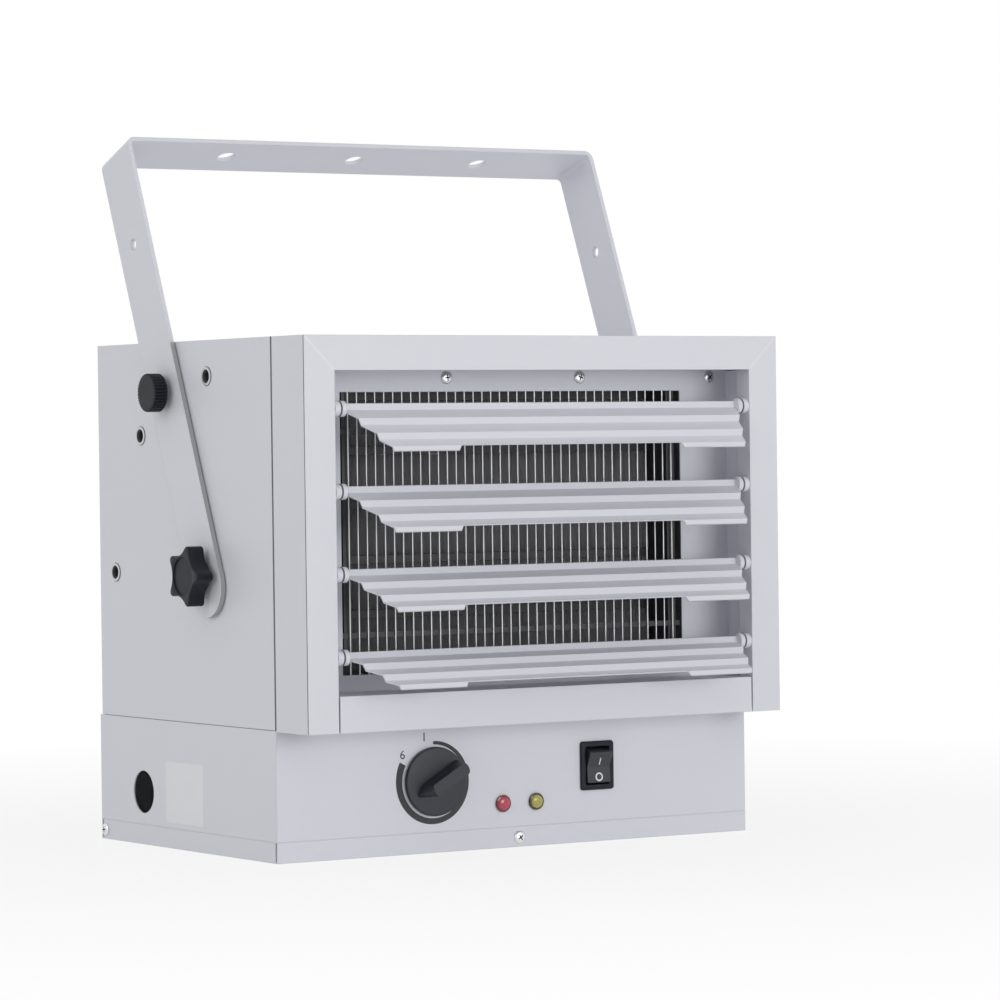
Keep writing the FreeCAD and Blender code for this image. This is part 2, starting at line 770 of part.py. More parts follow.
def make_rocker():
    """A snap-in rocker switch: a rimmed housing with a well, and the dished paddle that tips in it."""
    half_width, half_height = "rocker_width / 2", "rocker_height / 2"
    rim = span("rocker_x - " + half_width, "rocker_x + " + half_width, FRONT + " - rocker_rim",
               FRONT + " - fit", "rocker_z - " + half_height, "rocker_z + " + half_height)
    body = span("rocker_x - %s + rocker_rim" % half_width, "rocker_x + %s - rocker_rim" % half_width,
                FRONT + " - rocker_rim", FRONT + " + rocker_body_depth",
                "rocker_z - %s + rocker_rim" % half_height, "rocker_z + %s - rocker_rim" % half_height)
    well = span("rocker_x - %s + rocker_border" % half_width, "rocker_x + %s - rocker_border" % half_width,
                FRONT + " - rocker_rim - over", FRONT + " + paddle_well",
                "rocker_z - %s + rocker_border" % half_height, "rocker_z + %s - rocker_border" % half_height)
    inner_half = "(rocker_width / 2 - rocker_border)"
    pivot = FRONT + " + paddle_pivot"
    bearing = rod("x", "paddle_pin + run", "rocker_x - %s - paddle_pin - fit" % inner_half, pivot, "rocker_z",
                  "2 * %s + 2 * paddle_pin + 2 * fit" % inner_half)
    keep(cut(join([rim, body]), [well, bearing]), "rocker_housing")
    reach = "(rocker_height / 2 - rocker_border - 2 * seam)"
    rise = "(paddle_pivot + rocker_rim + paddle_proud)"
    crest = "%s * paddle_crest" % reach
    peak = "-%s - %s * tan(paddle_dish)" % (rise, crest)
    face = [("-" + rise, 0), (peak, "-" + crest), ("-paddle_skirt", "-" + reach),
            ("paddle_well / 4", "-%s * paddle_share" % reach),
            ("paddle_well / 4", "%s * paddle_share" % reach), ("-paddle_skirt", reach), (peak, crest)]
    tip = padded("paddle", "YZ_Plane", face, "2 * %s - 2 * seam" % inner_half)
    pins = rod("x", "paddle_pin", "-%s - paddle_pin" % inner_half, 0, 0,
               "2 * %s + 2 * paddle_pin" % inner_half)
    paddle = join([tip, pins])
    turn(paddle, FreeCAD.Vector(1, 0, 0), "paddle_angle")
    place(paddle, "rocker_x", pivot, "rocker_z")
    keep(paddle, "rocker_paddle")


def make_lamps():
    for side, label in ((-1, "caution_lamp"), (1, "power_lamp")):
        x = "%d * lamp_x" % side
        lens = rod("y", "lamp_radius * lamp_share", x, FRONT + " - lamp_proud", "lamp_z", "lamp_proud - fit",
                   "lamp_radius")
        stem = rod("y", "lamp_stem", x, FRONT + " - lamp_proud / 2", "lamp_z", "lamp_depth")
        keep(join([lens, stem]), label)


def make_inside():
    """Wiring block, relay and over-heat limit, on the tray and the baffle."""
    floor = "sheet_wall + fit"
    start = "cable_y - block_depth / 2"
    block = box("-block_width / 2", start, floor, "block_width", "block_depth", "block_height")
    ways = []
    for index in range(BLOCK_RIBS - 1):
        pitch = "((block_width - block_rib) / %d)" % (BLOCK_RIBS - 1)
        ways.append(box("-block_width / 2 + block_rib + %d * %s" % (index, pitch), start + " - over",
                        floor + " + block_height - block_step", pitch + " - block_rib",
                        "block_depth + 2 * over", "block_step + over"))
    keep(cut(block, ways), "terminal_block")
    relay = box("relay_x", 0, floor, "relay_width", "relay_depth", "relay_height")
    cap = box("relay_x + relay_cap", "relay_cap", floor + " + relay_height", "relay_width - 2 * relay_cap",
              "relay_depth - 2 * relay_cap", "relay_cap")
    keep(join([relay, cap]), "heat_relay")
    limit = rod("y", "limit_radius", "limit_x", BAFFLE_BACK + " + fit", "limit_z", "limit_depth")
    keep(limit, "limit_switch")


# Bracket
def make_bracket():
    """A flat strip bent into a U, with rounded tails, drilled for its knobs and for fastening."""
    inner, outer, top, over_top = ARM_INNER, ARM_OUTER, "arm_reach", "arm_reach + strip"
    u_line = [("-" + outer, "-arm_tail"), ("-" + inner, "-arm_tail"), ("-" + inner, top), (inner, top),
              (inner, "-arm_tail"), (outer, "-arm_tail"), (outer, over_top), ("-" + outer, over_top)]
    body = padded("strip_u", "XZ_Plane", u_line, "strip_width")
    doc.recompute()
    shape = body.Tip.Shape
    high, tail, half = number(top), -arm_tail, strip_width / 2

    def along_y(edge):
        return abs(edge.tangentAt(edge.FirstParameter).y) > 0.9

    names = edges_where(shape, lambda p, e: along_y(e) and abs(p.z - high) < 0.01)
    fillet(body, "bend", names)
    doc.recompute()
    crest = number(over_top)
    names = edges_where(body.Tip.Shape, lambda p, e: along_y(e) and abs(p.z - crest) < 0.01)
    fillet(body, "bend + strip", names)
    doc.recompute()
    names = edges_where(body.Tip.Shape, lambda p, e: abs(p.z - tail) < 0.01 and abs(abs(p.y) - half) < 0.01)
    fillet(body, "strip_width / 2 - fit", names)
    holes = [rod("z", "bar_hole", "%d * bar_hole_pitch" % step, 0, top + " - over", "strip + 2 * over")
             for step in (-1, 0, 1)]
    for side in (-1, 1):
        for radius, z in (("arm_hole", "arm_hole_reach"), ("thumb_stud + fit", "index_radius"),
                          ("star_stud + fit", "0")):
            holes.append(side_rod(side, radius, ARM_OUTER + " + over", "strip + 2 * over", 0, z))
    bracket = cut(body, holes)
    turn(bracket, FreeCAD.Vector(1, 0, 0), "-lean_angle")
    place(bracket, 0, "pivot_y", "pivot_z")
    keep(bracket, "tilt_bracket")


def make_star_knob(side, label):
    """A five-lobed clamp knob with a sunk cap, a hub and a threaded stud."""
    start = ARM_OUTER + " + seam"
    hub_end = start + " + star_hub_depth"
    disc = side_rod(side, "star_radius", hub_end + " + star_depth", "star_depth", "pivot_y", "pivot_z")
    scallops = []
    for lobe in range(STAR_LOBES):
        angle = 360.0 * (lobe + 0.5) / STAR_LOBES
        scallops.append(side_rod(side, "scallop", hub_end + " + star_depth + over", "star_depth + 2 * over",
                                 "pivot_y - scallop_reach * cos(%s)" % angle,
                                 "pivot_z + scallop_reach * sin(%s)" % angle))
    cap = side_rod(side, "star_cap", hub_end + " + star_depth + over", "star_cap_depth + over", "pivot_y",
                   "pivot_z")
    hub = side_rod(side, "star_hub", hub_end + " + over", "star_hub_depth + over", "pivot_y", "pivot_z")
    stud = side_rod(side, "star_stud", hub_end, "star_hub_depth + seam + strip + arm_gap + star_stud_past",
                    "pivot_y", "pivot_z")
    keep(join([cut(disc, scallops + [cap]), hub, stud]), label)


def make_thumb_screw(side, label):
    """A fluted screw, shown backed out of its nut by its full travel."""
    y, z = index_place("lean_angle")
    start = ARM_OUTER + " + thumb_travel + seam"
    head = side_rod(side, "thumb_radius", start + " + thumb_depth", "thumb_depth", y, z)
    flutes = []
    for index in range(FLUTES):
        angle = 360.0 * index / FLUTES
        groove = prism("x", FLUTE_SIDES, "flute", 0, "%s + thumb_radius * sin(%s)" % (y, angle),
                       "%s + thumb_radius * cos(%s)" % (z, angle), "thumb_depth + 2 * over")
        inward = FreeCAD.Rotation(FreeCAD.Vector(1, 0, 0), 90 - angle)
        groove.Placement.Rotation = inward * groove.Placement.Rotation
        x = "-(%s) - thumb_depth - over" if side < 0 else "%s - over"
        groove.setExpression("Placement.Base.x", full(x % start))
        flutes.append(groove)
    stud = side_rod(side, "thumb_stud", start + " + over", "%s + over - %s - seam" % (start, ARM_INNER), y, z)
    keep(join([cut(head, flutes), stud]), label)


def rivet_nut(side, flange, body, bore, y, z):
    """A flanged nut pressed into the side of the cabinet."""
    rim = side_rod(side, flange, HALF + " + nut_proud", "nut_proud - fit / 2", y, z)
    start = "-%s - nut_proud" % HALF if side < 0 else HALF + " - nut_depth"
    barrel = prism("x", HEX_SIDES, body, start, y, z, "nut_proud + nut_depth")
    inner = "-%s - nut_proud - over" % HALF if side < 0 else HALF + " - nut_depth - over"
    hole = prism("x", PIN_SIDES, bore, inner, y, z, "nut_proud + nut_depth + 2 * over")
    return cut(join([rim, barrel]), [hole])


def make_nuts():
    nuts = [rivet_nut(side, "nut_flange", "nut_body", "thumb_stud + fit", *index_place(angle))
            for side in (-1, 1) for angle in INDEX_ANGLES]
    keep(group(nuts), "index_nuts")
    nuts = [rivet_nut(side, "pivot_flange", "pivot_body", "star_stud + fit", "pivot_y", "pivot_z")
            for side in (-1, 1)]
    keep(group(nuts), "pivot_nuts")


# Screws
def screw(axis, x, y, z, ahead):
    """A domed screw along an axis, with its head ahead of (-1) or behind (1) the face that it holds."""
    crown, length = "screw_head * crown_share", "screw_dome - fit / 2"
    if ahead < 0:
        low, high, head_place, shank_place = crown, "screw_head", "-screw_dome", "-screw_dome / 2"
    else:
        low, high, head_place, shank_place = "screw_head", crown, "fit / 2", "-screw_depth"

    def start(offset):
        if axis == "x":
            return "%s + (%s)" % (x, offset), y, z
        return x, "%s + (%s)" % (y, offset), z

    head = rod(axis, low, *start(head_place), length, high)
    shank = prism(axis, HEX_SIDES, "screw_shank", *start(shank_place), "screw_dome / 2 + screw_depth")
    return join([head, shank])


def make_screws():
    baffle = [screw("y", x, CABINET_FRONT, "baffle_screw_z", -1) for x in BAFFLE_SCREWS]
    keep(group(baffle), "baffle_screws")
    tray = [screw("y", 0, FRONT, "tray_screw_z", -1)]
    for side in (-1, 1):
        tray.append(screw("x", "%d * %s" % (side, HALF), REAR + " - tray_screw_back", "tray_screw_z", side))
    keep(group(tray), "tray_screws")


def main():
    make_cabinet()
    make_rear()
    make_lower_box()
    make_bezel()
    make_baffle()
    for row in range(LOUVERS):
        make_louver(row)
    make_louver_pins()
    make_guard()
    make_core()
    make_fan()
    make_dial()
    make_rocker()
    make_lamps()
    make_inside()
    make_bracket()
    for side, name in ((-1, "left"), (1, "right")):
        make_star_knob(side, "star_knob_" + name)
        make_thumb_screw(side, "thumb_screw_" + name)
    make_nuts()
    make_screws()
    doc.recompute()
    write()


def write():
    """Checks every object, then writes each sub-part to its own file."""
    failed = [thing.Label for thing in doc.Objects if {"Invalid", "Error"} & set(thing.State)]
    failed += [thing.Label for thing in PIECES if thing.Shape.isNull() or not thing.Shape.isValid()]
    if failed:
        raise RuntimeError("failed: " + ", ".join(failed))
    os.makedirs("parts", exist_ok=True)
    for thing in PIECES:
        thing.Shape.exportStep("parts/%s.step" % thing.Label)
        solids = len(thing.Shape.Solids)
        print("%-22s solids %3d  volume %10.1f mm3" % (thing.Label, solids, thing.Shape.Volume))


main()
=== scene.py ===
"""Looks of the garage heater: finishes for its sheet metal, and detailed knobs, screws, lamps and print."""
import json
import math

import bmesh
import bpy
from bpy.props import FloatProperty, FloatVectorProperty, IntProperty, PointerProperty
from mathutils import Matrix, Vector


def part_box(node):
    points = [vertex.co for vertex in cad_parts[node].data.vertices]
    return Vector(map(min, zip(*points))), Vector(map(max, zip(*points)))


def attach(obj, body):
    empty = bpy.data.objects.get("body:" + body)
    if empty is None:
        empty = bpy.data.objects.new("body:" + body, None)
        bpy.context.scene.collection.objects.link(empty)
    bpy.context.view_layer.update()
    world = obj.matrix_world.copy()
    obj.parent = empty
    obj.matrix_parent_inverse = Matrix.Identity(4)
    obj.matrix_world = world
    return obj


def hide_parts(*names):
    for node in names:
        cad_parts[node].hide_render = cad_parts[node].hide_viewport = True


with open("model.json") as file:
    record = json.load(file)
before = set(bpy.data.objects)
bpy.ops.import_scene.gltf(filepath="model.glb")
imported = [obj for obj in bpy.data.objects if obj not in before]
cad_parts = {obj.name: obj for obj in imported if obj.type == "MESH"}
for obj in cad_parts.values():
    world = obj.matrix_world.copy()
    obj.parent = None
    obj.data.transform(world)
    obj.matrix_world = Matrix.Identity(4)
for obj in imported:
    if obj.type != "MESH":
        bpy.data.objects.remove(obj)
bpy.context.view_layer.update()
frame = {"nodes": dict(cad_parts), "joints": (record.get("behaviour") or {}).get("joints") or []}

bl_info = {
    "name": "Garage Heater Looks",
    "version": (1, 0, 0),
    "blender": (4, 5, 0),
    "location": "View3D > Sidebar > Heater",
    "description": "Dresses the packed garage heater with finishes and small detailed pieces",
    "category": "Object",
}

NODES = frame["nodes"]
JOINTS = {joint["name"]: joint for joint in frame["joints"]}
SIDES = (("left", -1.0), ("right", 1.0))
SIGNS = (-1.0, 1.0)
LOUVERS = range(1, 5)
COATED = ["cabinet_shell", "rear_panel", "control_box", "control_rear_cover", "bulkhead", "bottom_tray",
          "front_bezel", "bottom_rail", "front_baffle", "tilt_bracket"]
COATED += ["louver_%d" % row for row in LOUVERS]
FRONT_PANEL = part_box("control_box")[0].y
MM = 0.001

# How many sides a turned piece, a fine one, a small one and a stud have
ROUND, FINE, SMALL, STUD = 48, 96, 40, 24

# Sockets of the Mix node where it mixes colours
MIX_SHARE, MIX_FIRST, MIX_SECOND, MIX_RESULT = 0, 6, 7, 2


def colour_property(name, description, default):
    return FloatVectorProperty(name=name, description=description, default=default, size=3, min=0.0,
                               max=1.0, subtype="COLOR")


def length_property(name, description, default):
    return FloatProperty(name=name, description=description, default=default, min=0.0, unit="LENGTH",
                         precision=5)


class HeaterFinish(bpy.types.PropertyGroup):
    """Colours of the heater's finishes."""
    coat: colour_property("Powder coat", "Colour of the coated sheet metal", (0.765, 0.773, 0.83))
    plastic: colour_property("Black plastic", "Colour of the knobs", (0.014, 0.016, 0.024))
    zinc: colour_property("Zinc", "Colour of nuts, screws and pins", (0.72, 0.73, 0.74))
    aluminium: colour_property("Aluminium", "Colour of the fan", (0.74, 0.75, 0.77))
    # On the guard's cross strips, this colour is painted shade
    core: colour_property("Heating core", "Colour of the bars and strips in the outlet", (0.06, 0.06, 0.063))
    foil: colour_property("Fin foil", "Colour of the folded fins", (0.62, 0.62, 0.63))
    wire: colour_property("Guard wire", "Colour of the outlet guard", (0.80, 0.80, 0.81))
    steel: colour_property("Plated steel", "Colour of the inner brackets", (0.55, 0.56, 0.58))
    red: colour_property("Red lens", "Colour of the left lamp", (0.70, 0.06, 0.10))
    # The lamps' rim colours are darker copies of the lenses, as painted shade
    red_edge: colour_property("Red edge", "Colour of the groove round the left lamp", (0.22, 0.015, 0.03))
    amber: colour_property("Amber lens", "Colour of the right lamp", (0.60, 0.54, 0.09))
    amber_edge: colour_property("Amber edge", "Colour of the groove round the right lamp",
                                (0.06, 0.05, 0.008))
    ink: colour_property("Panel ink", "Colour of the printed scale", (0.025, 0.027, 0.032))
    paint: colour_property("Switch paint", "Colour of the marks on the switch", (0.85, 0.85, 0.85))
    # The plate colour also makes the painted highlight along the bezel's mitres
    plate: colour_property("Blank plate", "Colour of the bare plate on the side", (0.83, 0.84, 0.87))
    # The edge colour is painted shade on the bracket arms' edges below the cabinet's top
    edge: colour_property("Strip edge", "Colour of the bracket's cut edges", (0.42, 0.42, 0.43))
    seam: colour_property("Seam", "Colour of the shaded joints between sheets", (0.12, 0.12, 0.13))


class HeaterSizes(bpy.types.PropertyGroup):
    """Sizes of the pieces that are added to the model."""
    star_lobes: IntProperty(name="Star lobes", description="Lobes of a clamp knob", default=5, min=3,
                            max=9)
    star_radius: length_property("Star radius", "Reach of a lobe from the knob's axis", 0.020)
    scallop: length_property("Scallop", "Radius of the hollow between two lobes", 0.0167)
    scallop_reach: length_property("Scallop reach", "Distance of a hollow's centre from the axis", 0.0307)
    star_cap: length_property("Star cap", "Radius of the sunk cap", 0.0125)
    flutes: IntProperty(name="Flutes", description="Grip grooves round a lock screw", default=36, min=6,
                        max=60)
    flute_depth: length_property("Flute depth", "Depth of a grip groove", 0.0007)
    scale_radius: length_property("Scale radius", "Inner radius of the dial's printed scale", 0.0236)
    scale_thin: length_property("Scale start", "Width of the scale at its low end", 0.0022)
    scale_thick: length_property("Scale end", "Width of the scale at its high end", 0.0049)
    numeral: length_property("Numeral height", "Height of the dial's numerals", 0.0058)
    fin_pitch: length_property("Fin pitch", "Distance from fold to fold of the heating fins", 0.0026)
    nut_rim: length_property("Nut rim", "Outer radius of a pressed nut's rim", 0.0063)
    nut_mouth: length_property("Nut mouth", "Radius of the countersink in a pressed nut", 0.0041)
    seam_width: length_property("Seam width", "Width of the joint behind the bezel", 0.0018)
    print_film: length_property("Print film", "How far ink stands proud of its panel", 0.00012)


class HeaterStage(bpy.types.PropertyGroup):
    """The floor, lamps and camera."""
    lens: FloatProperty(name="Lens", description="Focal length on a 36 mm sensor", default=155.73, min=10.0,
                        unit="CAMERA")
    place: FloatVectorProperty(name="Camera place", description="Where the camera stands",
                               subtype="TRANSLATION", unit="LENGTH", default=(-1.52375, -2.46727, 0.26062))
    turn: FloatVectorProperty(name="Camera turn", description="How the camera is turned", subtype="EULER",
                              default=[math.radians(degrees) for degrees in (89.2667, 0.7298, -32.7763)])
    floor: colour_property("Floor", "Colour of the floor", (0.90, 0.90, 0.90))
    key: FloatProperty(name="Key lamp", description="Power of the main lamp", default=21.0, min=0.0)
    fill: FloatProperty(name="Fill lamp", description="Power of the side lamp", default=9.0, min=0.0)
    sky: FloatProperty(name="Sky", description="Strength of the even light all round", default=0.55,
                       min=0.0)


# Finishes


class Finish:
    """A Principled material in the making, with helpers for grain and tone."""

    def __init__(self, name, colour, roughness, metallic=0.0, **sockets):
        self.material = bpy.data.materials.new(name)
        self.material.use_nodes = True
        self.tree = self.material.node_tree
        self.shader = self.tree.nodes["Principled BSDF"]
        self.colour = (*colour, 1.0)
        self.set("Base Color", self.colour)
        self.set("Roughness", roughness)
        self.set("Metallic", metallic)
        for socket, value in sockets.items():
            self.set(socket.replace("_", " "), value)
        self.material.diffuse_color = self.colour
        self.place = self.add("ShaderNodeTexCoord").outputs["Object"]

    def set(self, socket, value):
        self.shader.inputs[socket].default_value = value

    def add(self, kind, **values):
        """A new node, with its sockets and settings given by name."""
        node = self.tree.nodes.new(kind)
        for key, value in values.items():
            socket = key.replace("_", " ")
            if socket in node.inputs:
                node.inputs[socket].default_value = value
            else:
                setattr(node, key, value)
        return node

    def link(self, source, target):
        self.tree.links.new(source, target)

    def noise(self, scale, detail=2.0, stretch=None):
        """Noise in the heater's own metres, stretched along an axis for brushed grain."""
        node = self.add("ShaderNodeTexNoise", Scale=scale, Detail=detail, Roughness=0.55)
        source = self.place
        if stretch:
            mapping = self.add("ShaderNodeMapping", Scale=stretch)
            self.link(source, mapping.inputs["Vector"])
            source = mapping.outputs["Vector"]
        self.link(source, node.inputs["Vector"])
        return node.outputs["Fac"]

    def climb(self, low, high):
        """A value that rises from 0 to 1 between two heights of the piece."""
        split = self.add("ShaderNodeSeparateXYZ")
        self.link(self.place, split.inputs["Vector"])
        span = self.add("ShaderNodeMapRange", From_Min=low, From_Max=high)
        self.link(split.outputs["Z"], span.inputs["Value"])
        return span.outputs["Result"]

    def blend(self, share, first, second):
        """Mixes two colours into the base colour."""
        mix = self.add("ShaderNodeMix", data_type="RGBA")
        mix.inputs[MIX_FIRST].default_value = (*first, 1.0)
        mix.inputs[MIX_SECOND].default_value = (*second, 1.0)
        self.link(share, mix.inputs[MIX_SHARE])
        self.link(mix.outputs[MIX_RESULT], self.shader.inputs["Base Color"])

    def tone(self, grain, drift):
        """Lets the colour drift by a share about its own value."""
        colour = self.colour[:3]
        darker = [value * (1.0 - drift) for value in colour]
        lighter = [min(1.0, value * (1.0 + drift)) for value in colour]
        self.blend(grain, darker, lighter)

    def gloss(self, grain, low, high):
        """Lets the roughness drift between two values."""
        span = self.add("ShaderNodeMapRange", To_Min=low, To_Max=high)
        self.link(grain, span.inputs["Value"])
        self.link(span.outputs["Result"], self.shader.inputs["Roughness"])

    def relief(self, grain, strength, depth, edge=0.0):
        """Raises the grain, on edges that are softened by a small radius."""
        bump = self.add("ShaderNodeBump", Strength=strength, Distance=depth)
        self.link(grain, bump.inputs["Height"])
        if edge:
            bevel = self.add("ShaderNodeBevel", samples=4, Radius=edge)
            self.link(bevel.outputs["Normal"], bump.inputs["Normal"])
        self.link(bump.outputs["Normal"], self.shader.inputs["Normal"])


def powder_coat(colours):
    finish = Finish("powder_coat", colours.coat, 0.42, Coat_Weight=0.08, Coat_Roughness=0.35)
    finish.tone(finish.noise(9.0, 3.0), 0.012)
    finish.gloss(finish.noise(60.0, 2.0), 0.38, 0.48)
    finish.relief(finish.noise(1500.0, 2.0), 0.10, 0.0002, 0.0007)
    return finish.material


def black_plastic(colours):
    finish = Finish("black_plastic", colours.plastic, 0.42, Specular_IOR_Level=0.2)
    finish.tone(finish.noise(140.0, 3.0), 0.18)
    finish.gloss(finish.noise(420.0, 2.0), 0.36, 0.52)
    finish.relief(finish.noise(2600.0, 3.0), 0.16, 0.00015, 0.0005)
    return finish.material


def dial_plastic(colours):
    finish = Finish("dial_plastic", [value * 1.3 for value in colours.plastic], 0.45)
    finish.tone(finish.noise(140.0, 3.0), 0.15)
    finish.gloss(finish.noise(420.0, 2.0), 0.40, 0.52)
    finish.relief(finish.noise(2600.0, 3.0), 0.12, 0.00015, 0.0004)
    return finish.material


def switch_plastic(colours):
    finish = Finish("switch_plastic", colours.plastic, 0.26, Coat_Weight=0.25, Coat_Roughness=0.12)
    finish.tone(finish.noise(90.0, 2.0), 0.12)
    finish.relief(finish.noise(900.0, 2.0), 0.05, 0.0001, 0.0006)
    return finish.material


def bright_zinc(colours):
    finish = Finish("bright_zinc", colours.zinc, 0.28, 1.0)
    finish.tone(finish.noise(260.0, 4.0), 0.08)
    finish.gloss(finish.noise(700.0, 3.0), 0.20, 0.36)
    finish.relief(finish.noise(1800.0, 2.0), 0.06, 0.0001, 0.0003)
    return finish.material


def drawn_wire(colours):
    finish = Finish("drawn_wire", colours.wire, 0.30, 1.0)
    streak = finish.noise(900.0, 3.0, (1.0, 1.0, 0.02))
    finish.tone(streak, 0.06)
    finish.gloss(streak, 0.24, 0.40)
    finish.relief(streak, 0.05, 0.0001)
    return finish.material


def rolled_aluminium(colours):
    finish = Finish("rolled_aluminium", colours.aluminium, 0.38, 1.0)
    streak = finish.noise(500.0, 3.0, (0.04, 1.0, 1.0))
    finish.tone(streak, 0.07)
    finish.gloss(streak, 0.30, 0.46)
    finish.relief(streak, 0.06, 0.0001)
    return finish.material


def heated_core_and_strip_shade(colours):
    """Aluminium that the heat has dulled; on the guard's cross strips it stands for painted shade."""
    finish = Finish("heated_core_and_strip_shade", colours.core, 0.5, 0.4)
    streak = finish.noise(420.0, 3.0, (1.0, 1.0, 0.03))
    finish.tone(streak, 0.3)
    finish.gloss(streak, 0.42, 0.58)
    finish.relief(streak, 0.06, 0.0001)
    return finish.material


def fin_foil(colours):
    finish = Finish("fin_foil", colours.foil, 0.45, 0.2)
    streak = finish.noise(300.0, 3.0, (1.0, 1.0, 0.05))
    finish.tone(streak, 0.2)
    finish.gloss(streak, 0.38, 0.55)
    return finish.material


def plated_steel(colours):
    finish = Finish("plated_steel", colours.steel, 0.40, 1.0)
    spangle = finish.noise(120.0, 5.0)
    finish.tone(spangle, 0.12)
    finish.gloss(spangle, 0.32, 0.5)
    finish.relief(finish.noise(1200.0, 2.0), 0.05, 0.0001)
    return finish.material


def motor_enamel(colours):
    finish = Finish("motor_enamel", [value * 3.0 for value in colours.plastic], 0.5)
    finish.tone(finish.noise(80.0, 3.0), 0.15)
    finish.relief(finish.noise(900.0, 2.0), 0.1, 0.0002)
    return finish.material


def moulded_case(colours):
    finish = Finish("moulded_case", [0.20 + value for value in colours.plastic], 0.55)
    finish.tone(finish.noise(160.0, 3.0), 0.1)
    finish.relief(finish.noise(1500.0, 2.0), 0.1, 0.0002)
    return finish.material


def lens(name, colour):
    """A clear coloured lens with a grained back."""
    finish = Finish(name, colour, 0.10, Transmission_Weight=0.25, IOR=1.49, Coat_Weight=0.6,
                    Coat_Roughness=0.04)
    finish.tone(finish.noise(700.0, 2.0), 0.25)
    finish.relief(finish.noise(900.0, 1.0), 0.12, 0.0003)
    return finish.material


def ink(name, colour):
    finish = Finish(name, colour, 0.55)
    finish.tone(finish.noise(1200.0, 3.0), 0.12)
    finish.relief(finish.noise(2200.0, 2.0), 0.04, 0.0001)
    return finish.material


def plate_film_and_mitre_highlight(colours):
    """The satin face of a bare plate, and the painted highlight along the bezel's mitres."""
    finish = Finish("plate_film_and_mitre_highlight", colours.plate, 0.32, Coat_Weight=0.3, Coat_Roughness=0.2)
    finish.tone(finish.noise(40.0, 2.0), 0.015)
    finish.relief(finish.noise(300.0, 2.0), 0.02, 0.0002)
    return finish.material


def painted_edge_shade(colours):
    """Grey painted shade as far up the bracket's arms as the cabinet reaches, and coated above."""
    top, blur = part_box("cabinet_shell")[1].z, 1.0 * MM
    finish = Finish("painted_edge_shade", colours.edge, 0.5)
    finish.blend(finish.climb(top - blur, top + blur), colours.edge, colours.coat)
    finish.relief(finish.noise(1800.0, 2.0), 0.08, 0.0001)
    return finish.material


def seam_shade(colours):
    finish = Finish("seam_shade", colours.seam, 0.7)
    finish.tone(finish.noise(90.0, 2.0), 0.12)
    return finish.material


# Near-black painted shade inside the screws' cross recesses and the nuts' bores
def painted_recess_shade(colours):
    finish = Finish("painted_recess_shade", colours.plastic, 0.7)
    finish.tone(finish.noise(600.0, 2.0), 0.2)
    return finish.material


# The finishes by name: those made once, then the lenses and the inks
MAKERS = {maker.__name__: maker for maker in (
    powder_coat, black_plastic, dial_plastic, switch_plastic, bright_zinc, drawn_wire, rolled_aluminium,
    heated_core_and_strip_shade, fin_foil, plated_steel, motor_enamel, moulded_case, plate_film_and_mitre_highlight, painted_edge_shade, seam_shade,
    painted_recess_shade)}
MAKERS |= {
    "red_lamp": lambda colours: lens("red_lamp", colours.red),
    "amber_lamp": lambda colours: lens("amber_lamp", colours.amber),
    # The lamps' rims: darker copies of the lenses, as painted shade
    "red_edge": lambda colours: lens("red_edge", colours.red_edge),
    "amber_edge": lambda colours: lens("amber_edge", colours.amber_edge),
    "panel_ink": lambda colours: ink("panel_ink", colours.ink),
    "switch_paint": lambda colours: ink("switch_paint", colours.paint),
}


def finish_named(name):
    """The material of that name, made the first time it is asked for."""
    return bpy.data.materials.get(name) or MAKERS[name](bpy.context.scene.heater_finish)


def dress(nodes, name):
    """Gives CAD nodes a finish."""
    for node in nodes:
        mesh = NODES[node].data
        mesh.materials.clear()
        mesh.materials.append(finish_named(name))


# Mesh making


def mm(pairs):
    """Pairs in millimetres, turned into metres."""
    return [(first * MM, second * MM) for first, second in pairs]


def rings(bm, loops, close_start=True, close_end=True, slot=0):
    """Skins a list of closed loops of points, each with the same count."""
    rows = [[bm.verts.new(point) for point in loop] for loop in loops]
    count = len(rows[0])
    for low, high in zip(rows, rows[1:]):
        for i in range(count):
            j = (i + 1) % count
            bm.faces.new((low[i], low[j], high[j], high[i])).material_index = slot
    if close_start:
        bm.faces.new(rows[0][::-1]).material_index = slot
    if close_end:
        bm.faces.new(rows[-1]).material_index = slot


def circle(radius, height, count=ROUND):
    angles = [2 * math.pi * i / count for i in range(count)]
    return [Vector((radius * math.cos(angle), radius * math.sin(angle), height)) for angle in angles]


def lathe(bm, profile, count=ROUND, slot=0):
    """Turns a list of (radius, height) about Z."""
    rings(bm, [circle(radius, height, count) for radius, height in profile], slot=slot)


def hoop(bm, loops, slot=0):
    """Skins loops of points and joins the last to the first."""
    weld = 0.005 * MM
    rings(bm, loops + loops[:1], False, False, slot)
    bmesh.ops.remove_doubles(bm, verts=bm.verts, dist=weld)


def ring(bm, profile, count=ROUND, slot=0):
    """Turns a closed list of (radius, height) about Z."""
    hoop(bm, [circle(radius, height, count) for radius, height in profile], slot)


def washer(bm, inner, outer, height, count=ROUND):
    """A flat ring that stands on the XY plane."""
    ring(bm, [(inner, 0.0), (outer, 0.0), (outer, height), (inner, height)], count)


def plain_mesh(name, bm):
    """Turns a bmesh into a mesh and frees it."""
    mesh = bpy.data.meshes.new(name)
    bm.to_mesh(mesh)
    bm.free()
    return mesh


def linked(name, data):
    """A new object in the scene."""
    thing = bpy.data.objects.new(name, data)
    bpy.context.scene.collection.objects.link(thing)
    return thing


def stamp(bm, mesh, place):
    """Adds a copy of a mesh at a place."""
    copy = mesh.copy()
    copy.transform(place)
    bm.from_mesh(copy)
    bpy.data.meshes.remove(copy)


def evaluated(thing):
    """The mesh of an object with its modifiers or its text worked out."""
    bpy.context.view_layer.update()
    return bpy.data.meshes.new_from_object(thing.evaluated_get(bpy.context.evaluated_depsgraph_get()))


